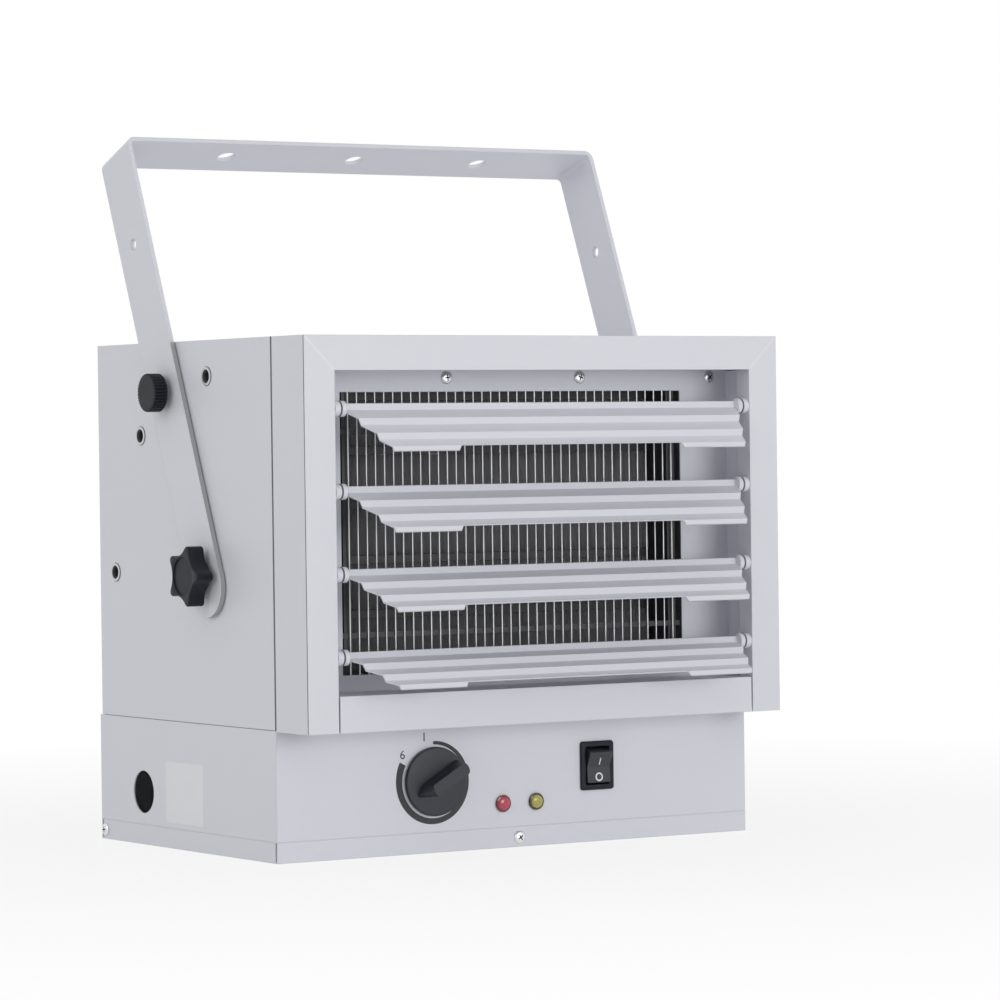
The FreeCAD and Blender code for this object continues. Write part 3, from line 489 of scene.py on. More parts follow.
def make_piece(name, bm, materials, body, place=None, angle=35.0):
    """Turns a bmesh into an object that rides on a body, sharp where it bends past an angle in degrees."""
    bmesh.ops.recalc_face_normals(bm, faces=bm.faces)
    mesh = plain_mesh(name, bm)
    if place is not None:
        mesh.transform(place)
    for material in materials:
        mesh.materials.append(finish_named(material))
    mesh.shade_smooth()
    mesh.set_sharp_from_angle(angle=math.radians(angle))
    piece = linked(name, mesh)
    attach(piece, body)
    return piece


def softened(outline, inset):
    """An outline moved inwards along its own normals."""
    count = len(outline)
    moved = []
    for i, point in enumerate(outline):
        along = outline[(i + 1) % count] - outline[i - 1]
        moved.append(point + Vector((-along.y, along.x)).normalized() * inset)
    return moved


def at_height(outline, height):
    return [Vector((point.x, point.y, height)) for point in outline]


def round_box(width, height, radius, count=6):
    """A rectangle with round corners, as points anticlockwise."""
    points = []
    for corner, (x, y) in enumerate(((1, 1), (-1, 1), (-1, -1), (1, -1))):
        for step in range(count + 1):
            angle = math.pi / 2 * (corner + step / count)
            points.append(Vector((x * (width / 2 - radius) + radius * math.cos(angle),
                                  y * (height / 2 - radius) + radius * math.sin(angle))))
    return points


def flat_plate(bm, outline, thickness):
    rings(bm, [at_height(outline, 0.0), at_height(outline, thickness)])


def panel_frame(x, z, proud=0.0):
    """A frame on the control panel: X to the right, Y up and Z out to the front."""
    return Matrix.Translation((x, FRONT_PANEL - proud, z)) @ Matrix.Rotation(math.pi / 2, 4, "X")


def side_frame(side, y, z, x):
    """A frame on a cabinet side: Z runs out, Y up and X to the front on the left side."""
    matrix = Matrix(((0.0, 0.0, side), (side, 0.0, 0.0), (0.0, 1.0, 0.0))).to_4x4()
    return Matrix.Translation((x, y, z)) @ matrix


# Operators


class HEATER_OT_coat(bpy.types.Operator):
    """Powder-coats the sheet metal"""
    bl_idname = "heater.coat"
    bl_label = "Coat Sheet Metal"

    def execute(self, context):
        dress(COATED, "powder_coat")
        self.paint_edge_shade(NODES["tilt_bracket"].data)
        return {"FINISHED"}

    def paint_edge_shade(self, mesh):
        """Gives the cut edges of the bracket's arms a finish of their own, which paints shade on them below
        the cabinet's top.
        """
        strip, sideways = 3.0 * MM, 0.3
        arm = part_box("tilt_bracket")[1].x - strip
        mesh.materials.append(finish_named("painted_edge_shade"))
        for face in mesh.polygons:
            if abs(face.center.x) > arm and abs(face.normal.x) < sideways:
                face.material_index = 1


class HEATER_OT_inner_finishes(bpy.types.Operator):
    """Finishes the guard, the heating core, the fan, the pins and what is in the lower box"""
    bl_idname = "heater.inner_finishes"
    bl_label = "Finish Inner Pieces"

    def execute(self, context):
        dress(["outlet_guard"], "drawn_wire")
        self.shade_strips(NODES["outlet_guard"].data)
        dress(["heating_bars", "core_channel_left", "core_channel_right"], "heated_core_and_strip_shade")
        dress(["fan_rotor"], "rolled_aluminium")
        dress(["fan_shroud", "motor_strap"], "plated_steel")
        dress(["louver_pins", "pivot_nuts", "fan_shaft"], "bright_zinc")
        dress(["fan_motor"], "motor_enamel")
        dress(["thermostat_body", "terminal_block", "heat_relay", "limit_switch"], "moulded_case")
        return {"FINISHED"}

    def shade_strips(self, mesh):
        """Paints shade on the guard's cross strips, whose faces are wider than a wire, in the core's dark
        finish.
        """
        wire = 1.5 * MM
        mesh.materials.append(finish_named("heated_core_and_strip_shade"))
        for face in mesh.polygons:
            places = [mesh.vertices[i].co.x for i in face.vertices]
            if max(places) - min(places) > wire:
                face.material_index = 1


class HEATER_OT_fins(bpy.types.Operator):
    """Folds fine aluminium ribbons between the heating bars"""
    bl_idname = "heater.fins"
    bl_label = "Fold Heating Fins"

    def execute(self, context):
        rows, bar, gap = 5, 5.0 * MM, 0.1 * MM
        low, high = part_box("heating_fins")
        lowest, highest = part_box("heating_bars")
        step = (highest.z - lowest.z - bar) / rows
        folds = int((high.x - low.x) / context.scene.heater_sizes.fin_pitch) * 2
        bm = bmesh.new()
        for row in range(rows):
            bottom = lowest.z + row * step + bar + gap
            top = bottom + step - bar - 2 * gap
            edge = []
            for index in range(folds + 1):
                x = low.x + (high.x - low.x) * index / folds
                z = top if index % 2 else bottom
                edge.append((bm.verts.new((x, low.y, z)), bm.verts.new((x, high.y, z))))
            for (a, b), (c, d) in zip(edge, edge[1:]):
                bm.faces.new((a, b, d, c))
        piece = make_piece("fin_ribbons", bm, ["fin_foil"], "housing", angle=10.0)
        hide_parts("heating_fins")
        return {"FINISHED"}


class HEATER_OT_star_knobs(bpy.types.Operator):
    """Moulds the two clamp knobs with soft lobes, a sunk cap and a hub"""
    bl_idname = "heater.star_knobs"
    bl_label = "Mould Clamp Knobs"

    # Thickness of the lobes
    depth = 11.6 * MM

    # In millimetres: height above the lobes' back and inset of the rounded rim
    rim = ((0.0, 0.8), (0.2, 0.3), (0.6, 0.0), (10.8, 0.0), (11.2, 0.1), (11.45, 0.35), (11.55, 0.7))

    # In millimetres: how far the sunk cap's edge stands outside its radius, and its height
    cap_edge = ((0.4, 0.0), (0.0, -0.2), (-0.1, -1.0))

    # In millimetres: radius and height, for the cap's middle, then above the lobes' back for hub and stud
    cap_middle = ((2.0, -0.9),)
    hub = ((8.6, -3.6), (9.6, -3.3), (10.0, -2.6), (10.4, -0.4), (11.5, 0.5))
    stud = ((4.0, -16.6), (4.0, -3.4))

    def execute(self, context):
        sizes = context.scene.heater_sizes
        outline = self.lobes(sizes)
        for name, side in SIDES:
            node = "star_knob_" + name
            low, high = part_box(node)
            tip = low.x if side < 0 else high.x
            joint = JOINTS["clamp_turn_" + name]["pos_m"]
            piece = make_piece("clamp_knob_" + name, self.mould(outline, sizes.star_cap),
                               ["black_plastic", "bright_zinc"], "clamp_" + name,
                               side_frame(side, joint[1], joint[2], tip), angle=40.0)
            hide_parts(node)
        return {"FINISHED"}

    def lobes(self, sizes, count=200, ease=2):
        """The knob's outline: a disc with round hollows, its corners eased."""
        half = math.pi / sizes.star_lobes
        reach = []
        for i in range(count):
            aside = half - abs((2 * math.pi * i / count + half) % (2 * half) - half)
            away = sizes.scallop_reach * math.sin(aside)
            radius = sizes.star_radius
            if away < sizes.scallop:
                hollow = sizes.scallop_reach * math.cos(aside) - math.sqrt(sizes.scallop ** 2 - away ** 2)
                radius = min(radius, hollow)
            reach.append(radius)
        near = range(-ease, ease + 1)
        eased = [sum(reach[(i + k) % count] for k in near) / len(near) for i in range(count)]
        return [Vector((r * math.cos(2 * math.pi * i / count), r * math.sin(2 * math.pi * i / count)))
                for i, r in enumerate(eased)]

    def mould(self, outline, cap):
        """The lobes, the hub behind them and the stud, with Z out and 0 at the front."""
        bm = bmesh.new()
        loops = [at_height(softened(outline, inset), height - self.depth) for height, inset in mm(self.rim)]
        sunk = [(cap + out, height) for out, height in mm(self.cap_edge)] + mm(self.cap_middle)
        loops += [circle(radius, height, len(outline)) for radius, height in sunk]
        rings(bm, loops)
        for profile, count, slot in ((self.hub, ROUND, 0), (self.stud, STUD, 1)):
            lathe(bm, [(radius, height - self.depth) for radius, height in mm(profile)], count, slot)
        return bm


class HEATER_OT_thumb_screws(bpy.types.Operator):
    """Moulds the two fluted lock screws with their studs"""
    bl_idname = "heater.thumb_screws"
    bl_label = "Mould Lock Screws"

    depth, stud, overlap = 9.8 * MM, 3.0 * MM, 0.3 * MM

    # In millimetres: height above the head's back and inset of the rounded rim
    rim = ((0.0, 1.2), (0.4, 0.4), (0.9, 0.0), (9.0, 0.0), (9.4, 0.12), (9.65, 0.4), (9.8, 0.95))

    # In millimetres: radius and height of the flat face
    face = ((9.0, 0.0), (2.0, -0.05))

    def execute(self, context):
        sizes = context.scene.heater_sizes
        for name, side in SIDES:
            node = "thumb_screw_" + name
            low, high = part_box(node)
            tip = low.x if side < 0 else high.x
            middle = (low + high) / 2
            bm = self.mould((high.z - low.z) / 2, high.x - low.x, sizes)
            piece = make_piece("lock_screw_" + name, bm, ["black_plastic", "bright_zinc"], "lock_" + name,
                               side_frame(side, middle.y, middle.z, tip), angle=40.0)
            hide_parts(node)
        return {"FINISHED"}

    def mould(self, radius, length, sizes, samples=8, narrow=1.5):
        """The head with its grooves and the stud, with Z out and 0 at the front."""
        count = sizes.flutes * samples
        outline = []
        for i in range(count):
            angle = 2 * math.pi * i / count
            dip = max(0.0, math.cos(sizes.flutes * angle)) ** narrow * sizes.flute_depth
            outline.append(Vector(((radius - dip) * math.cos(angle), (radius - dip) * math.sin(angle))))
        bm = bmesh.new()
        loops = [at_height([point * (1.0 - inset / radius) for point in outline], height - self.depth)
                 for height, inset in mm(self.rim)]
        rings(bm, loops + [circle(across, height, count) for across, height in mm(self.face)])
        lathe(bm, [(self.stud, -length), (self.stud, self.overlap - self.depth)], STUD, slot=1)
        return bm


class HEATER_OT_dial(bpy.types.Operator):
    """Moulds the thermostat's knob with a rounded disc and a wedge grip"""
    bl_idname = "heater.dial"
    bl_label = "Mould Dial"

    # In millimetres: radius and height of the disc
    disc = ((21.4, 0.6), (22.0, 0.8), (22.2, 1.3), (22.2, 3.1), (22.05, 3.6), (21.6, 3.9), (21.0, 4.0),
            (4.0, 3.95))

    # In millimetres: half of the grip's outline at its foot and at its crest, and the levels' heights
    foot = ((-16.8, 0.7), (-13.0, 3.3), (-9.2, 4.5), (17.4, 4.5), (20.2, 3.4), (21.2, 1.3))
    crest = ((-10.6, 0.9), (-10.2, 3.0), (-9.4, 4.1), (16.2, 4.1), (18.0, 3.2), (18.8, 1.2))
    levels = ((foot, 2.0), (foot, 4.0), (crest, 16.7))

    def execute(self, context):
        spindle, overlap = 3.0 * MM, 1.0 * MM
        joint = JOINTS["dial_turn"]["pos_m"]
        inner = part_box("thermostat_knob")[1].y
        bm = bmesh.new()
        lathe(bm, mm(self.disc), FINE)
        self.add_grip(bm)
        lathe(bm, [(spindle, FRONT_PANEL - inner), (spindle, overlap)], STUD, slot=1)
        piece = make_piece("dial_knob", bm, ["dial_plastic", "bright_zinc"], "dial",
                           panel_frame(joint[0], joint[2]), angle=30.0)
        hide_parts("thermostat_knob")
        return {"FINISHED"}

    def add_grip(self, bm):
        """The wedge across the disc, its edges rounded, turned to where it points at rest."""
        lean, corner, radius = math.radians(30.0), 0.3, 0.5 * MM
        grip = bmesh.new()
        rings(grip, [[Vector((x, sign * y, height * MM)) for sign, points in ((-1, half), (1, half[::-1]))
                      for x, y in mm(points)] for half, height in self.levels])
        bmesh.ops.bevel(grip, geom=[edge for edge in grip.edges if edge.calc_face_angle(0.0) > corner],
                        offset=radius, segments=3, profile=0.6, affect="EDGES", clamp_overlap=True)
        spare = plain_mesh("grip_spare", grip)
        stamp(bm, spare, Matrix.Rotation(lean, 4, "Z"))
        bpy.data.meshes.remove(spare)


class HEATER_OT_dial_print(bpy.types.Operator):
    """Prints the swelling scale round the dial, with a numeral at each end"""
    bl_idname = "heater.dial_print"
    bl_label = "Print Dial Scale"

    # Where the scale starts and how far it runs, clockwise
    start, sweep = math.radians(88.0), math.radians(296.0)

    # Each numeral with its place across and up the panel, in millimetres
    numerals = (("1", -71.8, 74.2), ("6", -88.1, 63.6))

    # A numeral's height as a share of its font's size
    height_share = 0.72

    def execute(self, context):
        sizes = context.scene.heater_sizes
        joint = JOINTS["dial_turn"]["pos_m"]
        inner, outer = [], []
        for index in range(FINE + 1):
            share = index / FINE
            angle = self.start - self.sweep * share
            width = sizes.scale_thin + (sizes.scale_thick - sizes.scale_thin) * share
            way = Vector((math.cos(angle), math.sin(angle)))
            inner.append(way * sizes.scale_radius)
            outer.append(way * (sizes.scale_radius + width))
        bm = bmesh.new()
        flat_plate(bm, self.rounded(inner, outer), sizes.print_film)
        make_piece("dial_scale", bm, ["panel_ink"], "housing", panel_frame(joint[0], joint[2]))
        for text, x, z in self.numerals:
            self.numeral(text, panel_frame(x * MM, z * MM, sizes.print_film / 2), sizes)
        return {"FINISHED"}

    def rounded(self, inner, outer, steps=8):
        """The band's outline, with a round cap at its thin end."""
        middle, radius = (inner[0] + outer[0]) / 2, (inner[0] - outer[0]).length / 2
        across, ahead = (inner[0] - outer[0]).normalized(), (outer[0] - outer[1]).normalized()
        cap = [middle + across * radius * math.cos(angle) + ahead * radius * math.sin(angle)
               for angle in (math.pi * k / steps for k in range(1, steps))]
        return outer + inner[::-1] + cap

    def numeral(self, text, place, sizes):
        curve = bpy.data.curves.new("numeral_" + text, "FONT")
        curve.body = text
        curve.size = sizes.numeral / self.height_share
        curve.align_x = "CENTER"
        curve.align_y = "CENTER"
        curve.extrude = sizes.print_film / 2
        spare = linked("numeral_spare", curve)
        mesh = evaluated(spare)
        bpy.data.objects.remove(spare)
        bm = bmesh.new()
        bm.from_mesh(mesh)
        bpy.data.meshes.remove(mesh)
        make_piece("dial_numeral_" + text, bm, ["panel_ink"], "housing", place)


class HEATER_OT_lamps(bpy.types.Operator):
    """Makes the two lamp lenses with their rims darkened as painted shade"""
    bl_idname = "heater.lamps"
    bl_label = "Make Lamps"

    # In millimetres: radius and height
    rim = ((5.5, 0.1), (5.6, 0.4), (5.6, 1.3), (5.4, 1.7), (4.3, 1.8), (4.3, 0.1))
    barrel = ((4.4, -18.0), (4.4, 0.4))
    dome = ((4.3, 0.4), (4.3, 1.9), (4.0, 2.4), (3.2, 2.85), (2.1, 3.1), (0.8, 3.2))

    def execute(self, context):
        for node, colour in (("caution_lamp", "red"), ("power_lamp", "amber")):
            low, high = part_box(node)
            middle = (low + high) / 2
            bm = bmesh.new()
            # The rim takes the darker copy of the lens: painted shade
            ring(bm, mm(self.rim), slot=2)
            lathe(bm, mm(self.barrel), STUD, slot=1)
            lathe(bm, mm(self.dome))
            piece = make_piece(node + "_lens", bm, [colour + "_lamp", "moulded_case", colour + "_edge"],
                               "housing", panel_frame(middle.x, middle.z), angle=25.0)
            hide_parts(node)
        return {"FINISHED"}


class HEATER_OT_rocker_switch(bpy.types.Operator):
    """Moulds the switch: a frame with round corners, a dished paddle, and a bar and a ring painted on it"""
    bl_idname = "heater.rocker_switch"
    bl_label = "Mould Rocker Switch"

    # How much narrower than the rim the body behind it, the well and the paddle are
    body_margin, well_margin, paddle_margin = 4.0 * MM, 7.2 * MM, 7.8 * MM

    # Corner radii of the body, the rim and the well
    body_corner, rim_corner, well_corner = 0.6 * MM, 2.0 * MM, 0.8 * MM

    # How deep the well is, and the gap between rim and panel
    well_depth, panel_gap = 9.0 * MM, 0.1 * MM

    # In millimetres: inset of the rounded edges of rim and well, and how far they are below the front
    rim_edge = ((0.0, 0.7), (0.2, 0.2), (0.6, 0.0))
    well_edge = ((-0.3, 0.0), (0.0, 0.3))

    # Slope of the paddle's dish, how it leans at rest, and the rounding of its sides
    dish, lean, round_side = math.radians(14.0), math.radians(10.0), 0.35 * MM

    # Of the paddle: how far its middle stands off the pivot, then how far its ridges and ends are from it
    rise, crest, reach = 5.0 * MM, 9.9 * MM, 11.8 * MM

    # In millimetres: how far the points of a rounded ridge are below its peak and beyond it
    ridge = ((0.15, -0.5), (0.3, 0.2))

    # How far the paddle's ends are before the pivot and its back behind it, and the back's share of the reach
    end, back, back_share = 1.0 * MM, 2.25 * MM, 0.8

    # Width, length and corner radius of the painted bar, the painted ring's radii, and both marks' places
    bar_size, ring_radii = (0.75 * MM, 4.8 * MM, 0.3 * MM), (1.9 * MM, 2.9 * MM)
    bar_place, ring_place = 3.9 * MM, 6.4 * MM

    def execute(self, context):
        low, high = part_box("rocker_housing")
        middle = (low + high) / 2
        width = high.x - low.x
        bm = self.frame(width, high.z - low.z, FRONT_PANEL - low.y, high.y - FRONT_PANEL)
        piece = make_piece("switch_frame", bm, ["black_plastic"], "housing",
                           panel_frame(middle.x, middle.z), angle=30.0)
        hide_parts("rocker_housing")
        place = Matrix.Translation(JOINTS["rocker_tip"]["pos_m"]) @ Matrix.Rotation(self.lean, 4, "X")
        piece = make_piece("switch_paddle", self.paddle(width - self.paddle_margin), ["switch_plastic"],
                           "rocker", place, angle=20.0)
        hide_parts("rocker_paddle")
        self.paint(place, context.scene.heater_sizes.print_film)
        return {"FINISHED"}

    def frame(self, width, height, proud, deep):
        """The rim on the panel, with the well in it and the body behind it."""
        body = round_box(width - self.body_margin, height - self.body_margin, self.body_corner)
        rim = round_box(width, height, self.rim_corner)
        well = round_box(width - self.well_margin, height - self.well_margin, self.well_corner)
        loops = [at_height(body, -deep), at_height(body, self.panel_gap), at_height(rim, self.panel_gap)]
        for outline, edge in ((rim, self.rim_edge), (well, self.well_edge)):
            loops += [at_height(softened(outline, inset), proud - drop) for inset, drop in mm(edge)]
        bm = bmesh.new()
        rings(bm, loops + [at_height(well, -self.well_depth)])
        return bm

    def paddle(self, width):
        """The paddle as it lies level, dished between two ridges."""
        peak = self.rise + self.crest * math.tan(self.dish)
        half = [(self.rise, 0.0)]
        half += [(peak - drop, self.crest + beyond) for drop, beyond in mm(self.ridge)]
        half += [(self.end, self.reach), (-self.back, self.back_share * self.reach)]
        profile = half[::-1] + [(out, -z) for out, z in half[1:]]
        side = width / 2
        bm = bmesh.new()
        rings(bm, [[Vector((x, inset - out, z * (1.0 - inset / self.reach))) for out, z in profile]
                   for x, inset in ((-side, self.round_side), (self.round_side - side, 0.0),
                                    (side - self.round_side, 0.0), (side, self.round_side))])
        return bm

    def paint(self, place, film):
        """A bar on the paddle's upper slope and a ring on its lower one."""
        bar, band = bmesh.new(), bmesh.new()
        flat_plate(bar, round_box(*self.bar_size), film)
        washer(band, *self.ring_radii, film, SMALL)
        marks = (("bar", bar, 1.0, self.bar_place), ("ring", band, -1.0, self.ring_place))
        for name, bm, sign, along in marks:
            spot = Matrix.Translation((0.0, -self.rise - along * math.tan(self.dish), sign * along))
            slope = Matrix.Rotation(math.pi / 2 + sign * self.dish, 4, "X")
            make_piece("switch_" + name, bm, ["switch_paint"], "rocker", place @ spot @ slope)


class HEATER_OT_screws(bpy.types.Operator):
    """Makes the domed screws with their cross recesses"""
    bl_idname = "heater.screws"
    bl_label = "Make Screws"

    # A head's radius and height, and how far the inner screws of the baffle are from its middle
    head, crown, inner = 4.2 * MM, 1.8 * MM, 51.3 * MM

    # In millimetres: radius and height of shank and dome
    dome = ((1.9, -5.0), (1.9, 0.0), (4.0, 0.05), (4.2, 0.35), (4.0, 0.9), (3.4, 1.4), (2.4, 1.7), (1.0, 1.8))

    # Reach and half width of the cross, and its heights with the share of its size there
    arm, half = 2.3 * MM, 0.42 * MM
    taper = ((0.5 * MM, 0.45), (2.2 * MM, 1.05))

    # Within this radius and between these heights, faces are the cross's walls, which get the painted shade
    # of the recess
    recess, floor, brim = 2.6 * MM, 0.3 * MM, 1.55 * MM

    # How the first cross is turned, and each further one from the last, in radians
    first_turn, next_turn = 0.6, 1.1

    def execute(self, context):
        mesh = self.cut_head()
        baffle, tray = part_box("baffle_screws"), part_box("tray_screws")
        upright = Matrix.Rotation(math.pi / 2, 4, "X")
        z, outer = (baffle[0].z + baffle[1].z) / 2, baffle[1].x - self.head
        frames = {"baffle": [Matrix.Translation((x, baffle[0].y + self.crown, z)) @ upright
                             for x in (-outer, -self.inner, self.inner, outer)]}
        z = (tray[0].z + tray[1].z) / 2
        frames["tray"] = [Matrix.Translation((0.0, tray[0].y + self.crown, z)) @ upright]
        for side in SIGNS:
            wall = side * (tray[1].x - self.crown)
            frames["tray"].append(side_frame(side, tray[1].y - self.head, z, wall))
        for group, places in frames.items():
            bm = bmesh.new()
            for index, place in enumerate(places):
                turn = self.first_turn + self.next_turn * index
                stamp(bm, mesh, place @ Matrix.Rotation(turn, 4, "Z"))
            piece = make_piece(group + "_cross_screws", bm, ["bright_zinc", "painted_recess_shade"], "housing")
            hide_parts(group + "_screws")
        bpy.data.meshes.remove(mesh)
        return {"FINISHED"}

    def cut_head(self):
        """A domed head, Z out, with a cross cut into it."""
        arm, half = self.arm, self.half
        bm = bmesh.new()
        lathe(bm, mm(self.dome), SMALL)
        dome = self.plain("screw_dome", bm)
        cross = [(half, half), (half, arm), (-half, arm), (-half, half), (-arm, half), (-arm, -half),
                 (-half, -half), (-half, -arm), (half, -arm), (half, -half), (arm, -half), (arm, half)]
        bm = bmesh.new()
        rings(bm, [[Vector((x * share, y * share, height)) for x, y in cross]
                   for height, share in self.taper])
        cutter = self.plain("screw_cross", bm)
        boolean = dome.modifiers.new("cross", "BOOLEAN")
        boolean.object = cutter
        boolean.operation = "DIFFERENCE"
        boolean.solver = "EXACT"
        mesh = evaluated(dome)
        for spare in (dome, cutter):
            bpy.data.objects.remove(spare)
        for face in mesh.polygons:
            if face.center.xy.length < self.recess and self.floor < face.center.z < self.brim:
                face.material_index = 1
        return mesh

    def plain(self, name, bm):
        """An object without a finish, for cutting."""
        bmesh.ops.recalc_face_normals(bm, faces=bm.faces)
        return linked(name, plain_mesh(name, bm))


class HEATER_OT_nuts(bpy.types.Operator):
    """Presses the domed index nuts into the cabinet's sides"""
    bl_idname = "heater.nuts"
    bl_label = "Press Index Nuts"

    # Where the bracket stops, in degrees from upright
    stops = (0.0, 22.5, 45.0, 90.0)

    # A nut's flange in the model, and here its barrel's radius and length and its rim's gap to the wall
    flange, barrel, length, wall_gap = 6.5 * MM, 4.4 * MM, 10.8 * MM, 0.05 * MM

    # The face: millimetres inside the rim or outside the mouth, and share of the height
    rim_face = ((0.0, 0.35), (0.3, 0.75), (0.9, 1.0))
    mouth_face = ((0.4, 1.0), (0.0, 0.7))

    # Widths of the shaded lines at rim and mouth, and the share of the height up to which the mouth is in
    # painted shade
    rim_line, mouth_line, dark_share = 0.35 * MM, 0.25 * MM, 0.4

    # The bore: its thread's inner and outer radius, its pitch and its turns
    crest, root, pitch, turns = 3.1 * MM, 3.4 * MM, 1.0 * MM, 10

    # Radius and height of the countersink's foot, and how deep the thread starts
    foot, thread_start = (3.3 * MM, -0.3 * MM), 0.6 * MM

    def execute(self, context):
        sizes = context.scene.heater_sizes
        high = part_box("index_nuts")[1]
        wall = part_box("cabinet_shell")[1].x
        pivot = JOINTS["bracket_tilt"]["pos_m"]
        reach = high.z - self.flange - pivot[2]
        nut = plain_mesh("nut_spare", self.nut(sizes.nut_rim, sizes.nut_mouth, high.x - wall))
        bm = bmesh.new()
        for side in SIGNS:
            for angle in [math.radians(degrees) for degrees in self.stops]:
                y, z = pivot[1] + reach * math.sin(angle), pivot[2] + reach * math.cos(angle)
                stamp(bm, nut, side_frame(side, y, z, side * wall))
        bpy.data.meshes.remove(nut)
        piece = make_piece("pressed_nuts", bm, ["plated_steel", "painted_recess_shade", "seam_shade"], "housing",
                           angle=30.0)
        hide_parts("index_nuts")
        return {"FINISHED"}

    def nut(self, rim, mouth, proud):
        """A nut with Z out: a rounded rim, a bore in painted shade, and a shaded line on either side of the
        rim.
        """
        profile = [(self.barrel, -self.length), (self.barrel, self.wall_gap), (rim, self.wall_gap)]
        profile += [(rim - inset * MM, share * proud) for inset, share in self.rim_face]
        profile += [(mouth + out * MM, share * proud) for out, share in self.mouth_face]
        bm = bmesh.new()
        ring(bm, profile + self.bore())
        for face in bm.faces:
            middle = face.calc_center_median()
            away = middle.xy.length
            if away < mouth and middle.z < self.dark_share * proud:
                face.material_index = 1
            elif away > rim - self.rim_line or away < mouth + self.mouth_line:
                face.material_index = 2
        return bm

    def bore(self):
        """The countersink's foot and the threaded bore, from the mouth inwards."""
        points = [self.foot]
        for turn in range(self.turns):
            start = -self.thread_start - turn * self.pitch
            points += [(self.crest, start), (self.root, start - self.pitch / 2)]
        return points + [(self.crest, -self.length)]


class HEATER_OT_trim(bpy.types.Operator):
    """Adds the bezel's and the tray's joints, the louver ears' grooves as painted shade and the side's bare
    plate
    """
    bl_idname = "heater.trim"
    bl_label = "Add Seams and Plate"

    # How far a shaded band stands proud of its sheet, and how far it reaches into it
    film, sunk = 0.03 * MM, 0.2 * MM

    def execute(self, context):
        sizes = context.scene.heater_sizes
        self.bezel_mitres()
        self.bezel_joint(sizes.seam_width)
        self.ear_grooves()
        self.tray_joint()
        self.bare_plate(sizes.print_film)
        return {"FINISHED"}

    def bezel_mitres(self):
        """A painted highlight: a pale line from corner to opening at the top of the bezel, left and right."""
        start, end, half_width, proud, deep = 0.9 * MM, 21.4 * MM, 0.5 * MM, 0.02 * MM, 0.1 * MM
        low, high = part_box("front_bezel")
        front, back = low.y - proud, low.y + deep
        bm = bmesh.new()
        for side in SIGNS:
            corner = Vector((side * (high.x - start), high.z - start))
            inner = Vector((side * (high.x - end), high.z - end))
            across = Vector((inner.y - corner.y, corner.x - inner.x)).normalized() * half_width
            loop = [corner + across, inner + across, inner - across, corner - across]
            rings(bm, [[Vector((point.x, y, point.y)) for point in loop] for y in (back, front)])
        make_piece("bezel_mitres", bm, ["plate_film_and_mitre_highlight"], "housing")

    def bezel_joint(self, width):
        """A shaded band round the joint between bezel and cabinet, and one down each front corner."""
        ahead = 0.15 * MM
        low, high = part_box("cabinet_shell")
        middle = low.y - ahead
        path = []
        for out in (self.film, -self.sunk):
            side, top = high.x + out, high.z + out
            path.append([(-side, low.z), (-side, top), (side, top), (side, low.z)])
        bends = list(zip(*path))
        bm = bmesh.new()
        for (a, b), (c, d) in zip(bends, bends[1:]):
            rings(bm, [[Vector((x, y, z)) for x, z in (a, c, d, b)]
                       for y in (middle - width / 2, middle + width / 2)])
        self.add_corners(bm)
        make_piece("bezel_joint", bm, ["seam_shade"], "housing")

    def add_corners(self, bm):
        """Bands of painted shade on the bezel's sides, close behind its front corners."""
        start, end, margin = 0.1 * MM, 0.9 * MM, 0.3 * MM
        low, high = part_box("front_bezel")
        for side in SIGNS:
            corners = [(side * (high.x + out), low.y + back) for out, back in (
                (self.film, start), (self.film, end), (-self.sunk, end), (-self.sunk, start))]
            rings(bm, [[Vector((x, y, z)) for x, y in corners] for z in (low.z + margin, high.z - margin)])

    def ear_grooves(self):
        """A dark band of painted shade round each louver's ear, where its groove lies between its two
        collars.
        """
        inner, outer, width, place = 4.8 * MM, 5.04 * MM, 1.3 * MM, 153.0 * MM
        bm = bmesh.new()
        washer(bm, inner, outer, width)
        groove = plain_mesh("groove_spare", bm)
        for row in LOUVERS:
            pivot = JOINTS["louver_turn_%d" % row]["pos_m"]
            bm = bmesh.new()
            for side in SIGNS:
                stamp(bm, groove, side_frame(side, pivot[1], pivot[2], side * place))
            make_piece("ear_grooves_%d" % row, bm, ["seam_shade"], "louver_%d" % row)
        bpy.data.meshes.remove(groove)

    def tray_joint(self):
        """A coated strip just behind the joint between box and tray."""
        outside, inside, bottom, top, corner = 0.1 * MM, 0.8 * MM, -0.3 * MM, 0.6 * MM, 0.2 * MM
        low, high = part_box("bottom_tray")
        middle, size = (low + high) / 2, high - low
        loops = []
        for inset, height in ((outside, bottom), (outside, top), (inside, top), (inside, bottom)):
            outline = round_box(size.x - 2 * inset, size.y - 2 * inset, corner)
            loops.append(at_height(outline, high.z + height))
        bm = bmesh.new()
        hoop(bm, loops)
        place = Matrix.Translation((middle.x, middle.y, 0.0))
        make_piece("tray_joint", bm, ["powder_coat"], "housing", place)

    def bare_plate(self, film):
        """A bare plate on the left side of the lower box."""
        width, height, corner, y, z = 50.3 * MM, 39.8 * MM, 1.2 * MM, 2.1 * MM, 36.7 * MM
        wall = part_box("control_box")[0].x
        bm = bmesh.new()
        flat_plate(bm, round_box(width, height, corner), film)
        make_piece("bare_plate", bm, ["plate_film_and_mitre_highlight"], "housing", side_frame(-1.0, y, z, wall))


